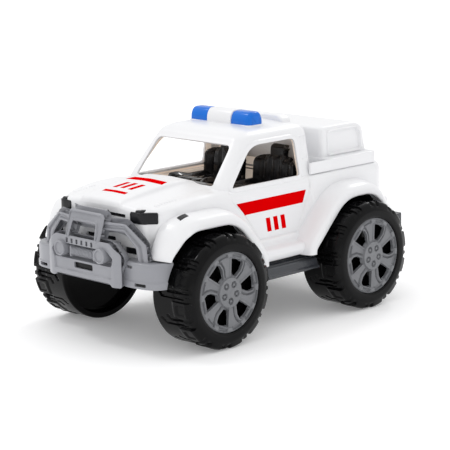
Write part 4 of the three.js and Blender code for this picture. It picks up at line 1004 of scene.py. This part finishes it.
def plateHeight(u, v):
    # flat, turned back at both sides, and sunk by the larger of the panel's and the recess's depth
    turn = winch["turnBack"] * smoothStep(*winch["turnFrom"], np.abs(u))
    recess = winch["recessDepth"] * smoothStep(*winch["sunkEdge"], outlineDistance(u, v, recessLine))
    panel = winch["panelDepth"] * smoothStep(*winch["sunkEdge"], outlineDistance(u, v, sunkLine))
    toEdge = -outlineDistance(u, v, plateOutline)
    rim = winch["rim"]["drop"] * smoothStep(winch["rim"]["width"], 0, toEdge) ** 2
    return winch["front"] - turn - np.maximum(recess, panel) - rim


platePart = cutPlate(plateOutline, plateHoles, winch["step"], plateHeight, "x")
addPiece("bumperPlate", [platePart], "silver", ["front_bumper"], wall=winch["thick"], ease=winch["ease"])

# bumper lamps: a turned cup with a rim ring round its lens; and the ribbed drum between them, in two end
# frames
lamp = {
    "y": 29.3,
    "z": 93.8,
    "sides": 44,
    "round": 0.4,
    "profile": [(0.2, 172), (7.5, 172), (7.5, 188.6), (6.9, 189.4), (5.9, 189.4), (5.5, 188.4), (5.2, 188),
                (0.2, 188.7)],
}
drum = {
    "half": 16.4,
    "radius": 4.8,
    "x": 180.6,
    "z": 92.2,
    "pitch": 2.05,
    "relief": 0.9,
    "ribEdge": (-0.35, 0.35),
    "samples": 200,
    "sides": 28,
    "core": 0.1,
    "frame": rectangle((174, 185), (86.5, 97.4)),
    "frameRadius": 1.5,
    "frameY": (16.2, 18),
    "frameEase": 0.5,
}
lampLine = rounded(lamp["profile"], lamp["round"], 4)
lampParts = [spun(lampLine, lamp["sides"], (y, lamp["z"]), "x") for y in (lamp["y"], -lamp["y"])]
drumY = np.linspace(-drum["half"], drum["half"], drum["samples"])
ribs = smoothStep(*drum["ribEdge"], np.cos(drumY / drum["pitch"] * 2 * math.pi))
drumLine = np.stack([drum["radius"] - drum["relief"] * ribs, drumY], -1)
drumEnds = [[drum["core"], -drum["half"]]], [[drum["core"], drum["half"]]]
drumProfile = np.concatenate([drumEnds[0], drumLine, drumEnds[1]])
drumPart = spun(drumProfile, drum["sides"], (drum["x"], drum["z"]), "y")
framePart = slab(rounded(drum["frame"], drum["frameRadius"]), *drum["frameY"], drum["frameEase"], "y")
addPiece("bumperLamps", lampParts, "silver", ["front_bumper"])
addPiece("bumperDrum", [drumPart, *bothSides([framePart])], "silver", ["front_bumper"])

# Bull bar: a leaning frame above the plate and a bent band to each side. Both are plates whose faces rise to
# two ridges with a groove between them.
bullBar = {
    "hoop": [(19, 104.5), (25, 104.5), (25.6, 129.6), (22.6, 132.4)],
    "hoopInner": [(16.4, 121.6), (17, 120)],
    "hoopRadii": [0.4, 0.4, 2, 2, 2, 2, 0.4, 0.4, 1, 1, 1, 1],
    "hoopFront": 186,
    "hoopFoot": 107,
    "hoopLean": 0.3,
    "hoopTurn": {"from": 22, "slope": 0.6},
    "hoopThick": 10,
    "hoopGroove": {"edge": (2.2, 2.8), "depth": 1.8},
    "side": [(20, 116), (46.6, 116.8), (60.4, 102.8), (63, 88), (75, 88), (73, 107), (48.8, 124.8),
             (20, 124.4)],
    "sideRadii": [0, 2, 2, 0, 0, 2, 3, 0],
    "ridge": [(20, 120.4), (47.6, 120.9), (66.4, 105), (69, 88)],
    "sideX": 175.4,
    "sideSweep": {"from": 25.5, "slope": 0.15},
    "sideThick": 8,
    "sideGroove": {"edge": (1.9, 0.9), "depth": 2.0},
    "edge": {"width": 1.6, "drop": 1.0},
    "step": 0.7,
    "ease": 0.4,
}
hoopOuter = mirrorOutline(bullBar["hoop"])
hoopInner = mirrorOutline(bullBar["hoopInner"])
hoopLine = rounded(np.concatenate([hoopOuter, np.roll(hoopInner, 2, 0)]), bullBar["hoopRadii"])
sideLine = rounded(bullBar["side"], bullBar["sideRadii"])


def barRim(toEdge):
    # the drop towards an edge: the square of a smooth step
    return bullBar["edge"]["drop"] * smoothStep(bullBar["edge"]["width"], 0, toEdge) ** 2


def hoopHeight(u, v):
    # a leaning plane whose legs turn outward, eased at its edges, with a groove away from the nearest edge
    inside = -outlineDistance(u, v, hoopLine)
    groove, turn = bullBar["hoopGroove"], bullBar["hoopTurn"]
    sunk = groove["depth"] * smoothStep(*groove["edge"], inside)
    turned = turn["slope"] * np.maximum(0, np.abs(u) - turn["from"])
    lean = bullBar["hoopLean"] * np.maximum(0, v - bullBar["hoopFoot"])
    return bullBar["hoopFront"] - lean - turned - sunk - barRim(inside)


def sideHeight(u, v):
    # swept back with the distance from the middle, and grooved along the ridge line
    groove, swept = bullBar["sideGroove"], bullBar["sideSweep"]
    sunk = groove["depth"] * smoothStep(*groove["edge"], lineDistance(u, v, bullBar["ridge"]))
    back = swept["slope"] * (u - swept["from"])
    return bullBar["sideX"] - back - sunk - barRim(-outlineDistance(u, v, sideLine))


hoopPart = cutPlate(hoopLine, [], bullBar["step"], hoopHeight, "x")
barPart = cutPlate(sideLine, [], bullBar["step"], sideHeight, "x")
addPiece("bullHoop", [hoopPart], "silver", ["front_bumper"], wall=bullBar["hoopThick"], ease=bullBar["ease"])
addPiece("bullSideBars", bothSides([barPart]), "silver", ["front_bumper"], wall=bullBar["sideThick"],
         ease=bullBar["ease"])

# Corner wings of the bumper: a wall along the plan line with a proud lip at its foot, rounded over into a
# top that runs back to a rear line; the end is cut round the tyre, and two slots go through the wall
wing = {
    "plan": [(174.6, 44), (175.4, 60), (173.6, 76), (168.6, 86.6), (159.6, 91), (144, 92.6)],
    "planRadii": [0, 10, 9, 7, 7, 0],
    "rear": [(160, 44), (159, 58), (156, 70), (150, 82), (145, 85), (140, 86)],
    "rearRadii": [0, 4, 4, 4, 2, 0],
    "rearStep": 0.2,
    "z": (66, 90.4),
    "lip": {"edge": (72.9, 72.1), "proud": 0.9},
    "edge": 2.8,
    "tyreGap": 60.2,
    "slots": [rectangle((53.4, 60.6), (84.2, 87)), rectangle((64.6, 77.6), (68, 71.2))],
    "slotRadius": 0.8,
    "slotTop": 89.4,
    "slotFrom": 160,
    "step": 0.8,
    "rows": (34, 7, 18),
    "middle": (150, 66, 70.0),
    "wall": 2.4,
    "ease": 0.4,
}


def wingGrid():
    # rows of the wall by height, of the quarter round by angle, and of the top by its share of the way back
    line = bent(wing["plan"], wing["planRadii"], wing["step"])
    along = unit(np.gradient(line, axis=0))
    out = np.stack([along[:, 1], -along[:, 0]], -1)
    low, high = wing["z"]
    wallRows, roundRows, topRows = wing["rows"]
    wallZ = np.linspace(low, high - wing["edge"], wallRows)
    wallOut = wing["lip"]["proud"] * smoothStep(*wing["lip"]["edge"], wallZ)
    angle = np.linspace(0, math.pi / 2, roundRows + 1)[1:]
    reach = np.concatenate([wallOut, -wing["edge"] * (1 - np.cos(angle))])
    height = np.concatenate([wallZ, high - wing["edge"] * (1 - np.sin(angle))])
    wall = line[None] + out[None] * reach[:, None, None]
    rear = bent(wing["rear"], wing["rearRadii"], wing["rearStep"])
    rear = rear[np.linspace(0, len(rear) - 1, len(line)).astype(int)]
    share = np.linspace(0, 1, topRows + 1)[1:, None, None]
    top = wall[-1:] * (1 - share) + rear[None] * share
    plan = np.concatenate([wall, top])
    level = np.concatenate([height, np.full(topRows, high)])
    return np.concatenate([plan, rowValues(level, plan)], -1)


wingPoints = wingGrid()
x, y, z = np.moveaxis(wingPoints, -1, 0)
wingRoom = np.hypot(x - car["axles"]["front"], z - car["axleZ"]) - wing["tyreGap"]
onWall = (z < wing["slotTop"]) & (x > wing["slotFrom"])
for hole in wing["slots"]:
    holeGap = outlineDistance(y, z, rounded(hole, wing["slotRadius"]))
    wingRoom = np.minimum(wingRoom, np.where(onWall, holeGap, far))
wingPart = facing(trimmed(wingPoints, wingRoom), middle=wing["middle"])
addPiece("bumperWings", bothSides([wingPart]), "silver", ["front_bumper"], wall=wing["wall"],
         ease=wing["ease"])

# pads behind the plate, and a dark block behind its lower slot that is painted shade: it makes the slot read
# dark
pad = {"outlines": [rectangle((-45, 45), (67, 71)), rectangle((-34, 34), (86, 104.4))], "x": (164, 174),
       "shade": rectangle((-16, 16), (74.4, 83)), "shadeX": (164, 181.4), "radius": 1, "ease": 0.6}
padParts = [slab(rounded(line, pad["radius"]), *pad["x"], pad["ease"], "x") for line in pad["outlines"]]
shadePart = slab(rounded(pad["shade"], pad["radius"]), *pad["shadeX"], pad["ease"], "x")
addPiece("bumperPad", padParts, "silver", ["front_bumper"])
addPiece("bumperShade", [shadePart], "chassis", ["front_bumper"])
print("bumper made")

# Side steps: a closed section carried along the car, its sloping tread grooved between the two ends
step = {
    "section": [(76.4, 60), (83, 59), (88, 51), (94.6, 50.8), (95.4, 52.2), (94.8, 53.4), (92.6, 54.4),
                (91, 60.6), (79.2, 65.6), (76.4, 65.6)],
    "radii": [0, 2, 1.5, 0.6, 0.6, 0.6, 0.8, 1.2, 1.0, 0],
    "x": (-49.5, 26),
    "ease": 1.4,
    "endGap": 0.5,
    "grooves": [{"y": (80.6, 82.2), "depth": 1.7}, {"y": (84, 85.6), "depth": 1.7},
                {"y": (87.4, 88.8), "depth": 1.5}],
    "grooveSoft": 0.3,
    "treadFrom": 58,
    "plainEnd": (4.3, 5.7),
    "alongStep": 0.9,
    "acrossStep": 0.5,
}


def stepRings():
    # the section drawn in along a quarter circle at both ends, and lowered in the grooves away from the ends
    section = resampledRing(rounded(step["section"], step["radii"], 5), step["acrossStep"])
    low, high = step["x"]
    first = low + step["ease"] + step["endGap"]
    last = high - step["ease"] - step["endGap"]
    between = np.arange(first, last, step["alongStep"])
    x, inset = easedEnds(low, high, step["ease"], 5, between)
    ends = smoothStep(*step["plainEnd"], np.minimum(x - low, high - x))[:, None]
    onTread = (section[:, 1] > step["treadFrom"])[None]
    sunk = 0
    for groove in step["grooves"]:
        across = band(section[:, 0], groove["y"], step["grooveSoft"])
        sunk = sunk + groove["depth"] * across[None] * ends * onTread
    ring = section[None] + inwardOf(section)[None] * (inset[:, None] + sunk)[..., None]
    return np.concatenate([rowValues(x, ring), ring], -1)


addPair("sideStep", [tube(stepRings())], "slate", "side_step")

# Seats: a back of upright rolls with a headrest, and a cushion of rolls
seat = {
    "centre": 36.5,
    "back": [(-28.4, 108), (28.4, 108), (28.4, 151), (25, 158.6), (9.4, 160.4), (8.8, 172), (-8.8, 172),
             (-9.4, 160.4), (-25, 158.6), (-28.4, 151)],
    "backRadii": [3, 3, 6, 5, 1, 3.5, 3.5, 1, 5, 6],
    "backX": -44.0,
    "lean": {"from": 120, "slope": 0.1},
    "roll": 11.6,
    "relief": 2.4,
    "shoulder": (161, 156),
    "turned": {"z": (148, 162), "y": (9, 11.4), "depth": 5.0},
    "bolster": {"y": (18, 26), "height": 3.0},
    "head": {"z": (159.5, 161), "back": 0.8, "topZ": (167, 172), "topBack": 2.5},
    "backWall": 9,
    "cushion": rectangle((-48, 13), (-28, 28)),
    "cushionRadius": 5,
    "cushionTop": 131,
    "cushionRise": {"x": (-20, 2), "endX": (6, 13), "height": 4.0, "relief": 0.7},
    "cushionWall": 7,
    "backStep": 1.1,
    "cushionStep": 1.5,
    "ease": 1.6,
}


def rolls(across):
    # broad rolls side by side: one less the fourth power of the place within a roll
    return 1 - (2 * np.mod(across / seat["roll"] + 0.5, 1) - 1) ** 4


def bolster(across):
    return seat["bolster"]["height"] * smoothStep(*seat["bolster"]["y"], np.abs(across))


def seatBack(u, v):
    # a leaning face of rolls that turn over backwards at the top, with a set-back headrest
    turn, head, lean = seat["turned"], seat["head"], seat["lean"]
    shoulder = smoothStep(*seat["shoulder"], v)
    turned = turn["depth"] * smoothStep(*turn["z"], v) ** 2 * smoothStep(*turn["y"], np.abs(u))
    headrest = head["back"] * smoothStep(*head["z"], v) + head["topBack"] * smoothStep(*head["topZ"], v) ** 2
    face = seat["relief"] * rolls(u) * shoulder + bolster(u) * shoulder
    return seat["backX"] + face - turned - headrest - lean["slope"] * (v - lean["from"])


def seatCushion(u, v):
    # a flat top of rolls that rises to the front, rounds over at its end and stands up at both sides
    rise = seat["cushionRise"]
    front = rise["height"] * smoothStep(*rise["x"], u) - rise["height"] * smoothStep(*rise["endX"], u) ** 2
    return seat["cushionTop"] + front + bolster(v) + seat["relief"] * rise["relief"] * rolls(v)


backLine = rounded(seat["back"], seat["backRadii"])
cushionLine = rounded(seat["cushion"], seat["cushionRadius"])
backPart = cutPlate(backLine, [], seat["backStep"], seatBack, "x")
cushionPart = cutPlate(cushionLine, [], seat["cushionStep"], seatCushion, "z")
seatParts = [("Back", backPart, seat["backWall"]), ("Cushion", cushionPart, seat["cushionWall"])]
for name, centre in (("left", seat["centre"]), ("right", -seat["centre"])):
    for label, part, wall in seatParts:
        moved = part[0] + [0, centre, 0], part[1]
        addPiece("seat" + label + name.capitalize(), [moved], "gloss", ["seat_" + name], wall=wall,
                 ease=seat["ease"])
print("steps and seats made")

# Tyres: a profile turned about the axle. Its outer shoulder stands up in blocks, each with a sunk face, and
# pairs of L-shaped grooves cross the tread; all are heights added to the radius.
tyre = {
    "radius": 56.0,
    "profile": [(2.9, -10.8), (39.5, -10.8), (39.5, -0.9), (40.7, 0), (46.4, 0), (49.4, -0.7), (51.6, -2.2),
                (53.2, -5), (53.9, -10), (54.1, -21), (54.9, -22.6), (55.3, -49), (55, -49.4), (49.6, -49.4),
                (48.9, -39.6), (8, -39.6), (8, -48.6), (2.9, -48.6)],
    "radii": [0.3, 0.3, 0.6, 0.8, 1.5, 1.5, 1.5, 2, 2, 0.4, 0.4, 0.3, 0.3, 0.8, 1, 0.5, 0.5, 0.3],
    "treadStep": 1.15,
    "sides": 396,
    "units": 12,
    "treadFrom": (50, 51.6),
    "treadLevel": (-48.8, 0),
    "blocks": [{"along": (1.5, 17.5), "level": (-22, -1.4), "height": 3.0},
               {"along": (21.5, 25.5), "level": (-11, -1.4), "height": 2.2}],
    "face": {"along": (4.8, 14.2), "level": (-17.5, -6.5), "depth": 1.1},
    "blockSoft": 0.4,
    "grooves": [[(27, -10), (27, -37), (21.5, -41)], [(21.5, -13.5), (21.5, -29), (17.5, -32)]],
    "grooveEdge": (1.3, 0.6),
    "grooveDepth": 2.0,
}


def tyreBox(along, level, place):
    # one inside a rectangle of the tread, nought outside, with soft sides
    return band(along, place["along"], tyre["blockSoft"]) * band(level, place["level"], tyre["blockSoft"])


def tyreGrid():
    # radius plus block and groove heights, by the length along a unit of the tread and the depth from the
    # face
    profile = resampledRing(rounded(tyre["profile"], tyre["radii"], 4), tyre["treadStep"])
    angle = np.linspace(0, 2 * math.pi, tyre["sides"], endpoint=False)[:, None]
    radius, level = np.broadcast_arrays(profile[None, :, 0], profile[None, :, 1] + 0 * angle)
    pitch = 2 * math.pi * tyre["radius"] / tyre["units"]
    along = np.mod(angle * tyre["radius"] + 0 * level, pitch)
    inner, outer = tyre["treadLevel"]
    tread = smoothStep(*tyre["treadFrom"], radius) * (level < outer) * (level > inner)
    height = sum(place["height"] * tyreBox(along, level, place) for place in tyre["blocks"])
    top = np.minimum(radius + tread * height, tyre["radius"])
    cut = np.minimum(*[lineDistance(along, level, line) for line in tyre["grooves"]])
    sunk = tyre["face"]["depth"] * tyreBox(along, level, tyre["face"])
    sunk = sunk + tyre["grooveDepth"] * smoothStep(*tyre["grooveEdge"], cut)
    radius = top - tread * sunk
    return np.stack([-radius * np.cos(angle), level, radius * np.sin(angle)], -1)


# Rims: a round face with a broad lip, six windows with a bent side, a ring of notches and a hub disc with
# lugs
rim = {
    "radius": 39.2,
    "innerRadius": 0.3,
    "radialStep": 0.78,
    "sides": 366,
    "face": -0.4,
    "dish": 1.4,
    "lip": (33.6, 34.8),
    "rounding": {"width": 1.1, "drop": 1.2},
    "windows": 6,
    "turn": 11,
    "window": [(15.8, -3.2), (23.4, -8.2), (29.2, -9), (32.8, -7), (32.6, 8), (15.8, 3.4)],
    "windowRadius": 1.0,
    "spokes": {"from": (15.3, 16.3), "to": (34.2, 33.2)},
    "edge": {"raise": 0.9, "step": (1.85, 1.15)},
    "line": {"gap": (2.4, 3.7), "depth": 1.7, "side": (0, -1.5)},
    "hub": (14.3, 15.3),
    "hubRaise": 0.5,
    "lugs": {"count": 5, "circle": 8.4, "ring": (1.5, 3.1), "depth": 2.0, "turn": 20},
    "notches": {"count": 12, "depth": 1.9, "dash": (35.2, 37.5), "dashTurn": (0.12, 0.78),
                "tick": (34, 37.5), "tickTurn": (0.12, 0.2), "turnSoft": 0.02, "soft": 0.25},
    "lineSoft": 0.3,
    "wall": 3.0,
    "ease": 0.3,
}


def notch(radius, turn, kind):
    # a band of the radius times a band of the turn
    look = rim["notches"]
    return band(turn, look[kind + "Turn"], look["turnSoft"]) * band(radius, look[kind], look["soft"])


def rimPart():
    # a polar grid whose height is the sum of the lip, hub, lugs, window edges and notches
    radius = np.arange(rim["innerRadius"], rim["radius"] + 0.01, rim["radialStep"])
    radius = np.append(radius[:-1], rim["radius"])[:, None]
    sector = 2 * math.pi / rim["windows"]
    turn = math.radians(rim["turn"])
    angle = turn - sector / 2 + np.linspace(0, 2 * math.pi, rim["sides"] + 1)[None, :]
    local = np.mod(angle - turn + sector / 2, sector) - sector / 2
    across = radius * np.sin(local)
    gap = outlineDistance(radius * np.cos(local), across, rounded(rim["window"], rim["windowRadius"]))
    r, a = np.broadcast_arrays(radius, angle)
    height = rim["face"] + rim["hubRaise"] - (rim["dish"] + rim["hubRaise"]) * smoothStep(*rim["hub"], r)
    height = height + rim["dish"] * smoothStep(*rim["lip"], r)
    outer = rim["rounding"]
    height = height - outer["drop"] * smoothStep(rim["radius"] - outer["width"], rim["radius"], r) ** 2
    spokes = smoothStep(*rim["spokes"]["from"], r) * smoothStep(*rim["spokes"]["to"], r)
    edge, line = rim["edge"], rim["line"]
    height = height + spokes * edge["raise"] * smoothStep(*edge["step"], gap)
    bentSide = smoothStep(*line["side"], across)
    height = height - spokes * bentSide * line["depth"] * band(gap, line["gap"], rim["lineSoft"])
    lugs = rim["lugs"]
    lugSector = 2 * math.pi / lugs["count"]
    lugTurn = np.mod(a - math.radians(lugs["turn"]), lugSector) - lugSector / 2
    toLug = np.hypot(r * np.cos(lugTurn) - lugs["circle"], r * np.sin(lugTurn))
    height = height - lugs["depth"] * band(toLug, lugs["ring"], rim["lineSoft"])
    notchTurn = np.mod(a * rim["notches"]["count"] / (2 * math.pi), 1)
    sunk = np.maximum(notch(r, notchTurn, "dash"), notch(r, notchTurn, "tick"))
    height = height - rim["notches"]["depth"] * sunk
    points = np.stack([-r * np.cos(a), height, r * np.sin(a)], -1)
    return facing(trimmed(points, gap), way=(0, 1, 0))


tyreRound, rimFace = tube(tyreGrid(), closeRows=True), rimPart()
for end in ("front", "rear"):
    for name, way in (("left", 1), ("right", -1)):
        place = np.array([car["axles"][end], way * car["tyreFace"], car["axleZ"]])
        turnRound = np.array([way, way, 1])
        wheelName = end.capitalize() + name.capitalize()
        tyreHere = tyreRound[0] * turnRound + place, tyreRound[1]
        rimHere = rimFace[0] * turnRound + place, rimFace[1]
        addPiece("tyre" + wheelName, [tyreHere], "tyre", [f"tyre_{end}_{name}"], end + "_wheels")
        addPiece("rim" + wheelName, [rimHere], "rim", [f"rim_{end}_{name}"], end + "_wheels",
                 wall=rim["wall"], ease=rim["ease"])
print("wheels made")

# Rear bumper: a bar behind the tail, its ends drawn forward to the rear arches
rearBar = {
    "plan": [(-187.6, -89), (-173, -89), (-166, -58), (-166, 58), (-173, 89), (-187.6, 89)],
    "z": (64, 86),
    "corner": 4,
    "ease": 1.4,
}
rearPart = slab(rounded(rearBar["plan"], rearBar["corner"]), *rearBar["z"], rearBar["ease"], "z")
addPiece("rearBumper", [rearPart], "slate", ["rear_bumper"])

# CAD pieces that keep their shape: merged, edges eased, and given their finish
# the interior tub takes the lining finish: its warm beige is painted shade and its glow painted light
kept = {
    "chassis_pan": ("chassis", 0.3), "interior_tub": ("lining", 0.6), "dashboard": ("gloss", 1.0),
    "grille_insert": ("lampDark", 0.3), "front_axle": ("steel", 0.2), "rear_axle": ("steel", 0.2),
    "front_axle_keeper": ("chassis", 0.4), "rear_axle_keeper": ("chassis", 0.4),
}
keptMeshing = {"merge": 1e-5, "easeFrom": 30}
kept.update({name: ("steel", 0.2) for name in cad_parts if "screw" in name})
for name, (look, ease) in kept.items():
    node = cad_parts[name]
    node.data.materials.clear()
    node.data.materials.append(materials[look])
    node.modifiers.new("weld", "WELD").merge_threshold = keptMeshing["merge"]
    easeEdges(node, ease, keptMeshing["easeFrom"])
print("kept nodes dressed:", len(kept))

# Floor, light and camera: a broad ceiling panel, small panels from the front and the rear, and a floor lit a
# little from below
studio = {
    "floor": (0.97, 0.97, 0.975),
    "floorShade": 0.995,
    "floorCloud": 3.0,
    "floorGlow": 0.17,
    "floorRough": 0.7,
    "floorShine": 0.1,
    "floorHalf": 7.0,
    "floorRows": 9,
    "world": 0.86,
    "lights": [
        {"name": "ceiling", "at": (-0.6, -0.6, 3.6), "aim": (-0.6, -0.6, 0), "size": (12, 12), "watts": 95},
        {"name": "frontKey", "at": (0.8, -1.5, 2.2), "aim": (0, 0, 0.1), "size": (0.25, 0.25), "watts": 8},
        {"name": "rearKicker", "at": (-1.9, -0.6, 1.7), "aim": (0, 0, 0.1), "size": (0.3, 0.3), "watts": 6},
    ],
    "camera": (1.2322, 1.2611, 0.4559),
    "target": (-0.0067, 0.0016, 0.0893),
    "roll": -1.157,
    "lens": 139.8,
    "sensor": 36,
    "clipEnd": 50,
}


def floorMaterial():
    # the floor's colour, a trace darker in soft clouds, and a little glow of its own
    material, wire, place = blankMaterial("paleFloor")
    cloud = wire.add("ShaderNodeTexNoise", None, {"Vector": place, "Scale": studio["floorCloud"]}, "Fac")
    tone = cloud.mixColours(studio["floor"], [studio["floorShade"] * part for part in studio["floor"]])
    shader = wire.add("ShaderNodeBsdfPrincipled", None, {
        "Base Color": tone,
        "Roughness": studio["floorRough"],
        "Specular IOR Level": studio["floorShine"],
        "Emission Color": tone,
        "Emission Strength": studio["floorGlow"],
    })
    wire.add("ShaderNodeOutputMaterial", None, {"Surface": shader})
    return material


def aimed(at, aim):
    # a place and the turn that looks from it to the aim
    look = Vector(aim) - Vector(at)
    return Matrix.Translation(at) @ look.to_track_quat("-Z", "Y").to_matrix().to_4x4()


spread = np.linspace(-studio["floorHalf"], studio["floorHalf"], studio["floorRows"])
floorX, floorY = crossed(spread, spread)
floorPoints, floorFaces = sheet(np.stack([floorX, floorY, 0 * floorX], -1))
floorMesh = bpy.data.meshes.new("floor")
floorMesh.from_pydata(floorPoints.tolist(), [], floorFaces.tolist())
floorMesh.materials.append(floorMaterial())
floor = bpy.data.objects.new("floor", floorMesh)
scene.collection.objects.link(floor)

world = bpy.data.worlds.new("studioSky")
scene.world = world
world.use_nodes = True
sky = world.node_tree.nodes["Background"]
sky.inputs["Color"].default_value = (1.0, 1.0, 1.0, 1)
sky.inputs["Strength"].default_value = studio["world"]
scene.view_settings.view_transform = "Standard"

for panel in studio["lights"]:
    data = bpy.data.lights.new(panel["name"], "AREA")
    data.shape = "RECTANGLE"
    data.size, data.size_y = panel["size"]
    data.energy = panel["watts"]
    light = bpy.data.objects.new(panel["name"], data)
    scene.collection.objects.link(light)
    light.matrix_world = aimed(panel["at"], panel["aim"])

cameraData = bpy.data.cameras.new("camera")
cameraData.lens = studio["lens"]
cameraData.sensor_width = studio["sensor"]
cameraData.sensor_fit = "HORIZONTAL"
cameraData.clip_end = studio["clipEnd"]
camera = bpy.data.objects.new("camera", cameraData)
scene.collection.objects.link(camera)
roll = Matrix.Rotation(math.radians(studio["roll"]), 4, "Z")
camera.matrix_world = aimed(studio["camera"], studio["target"]) @ roll
scene.camera = camera
print("studio made")
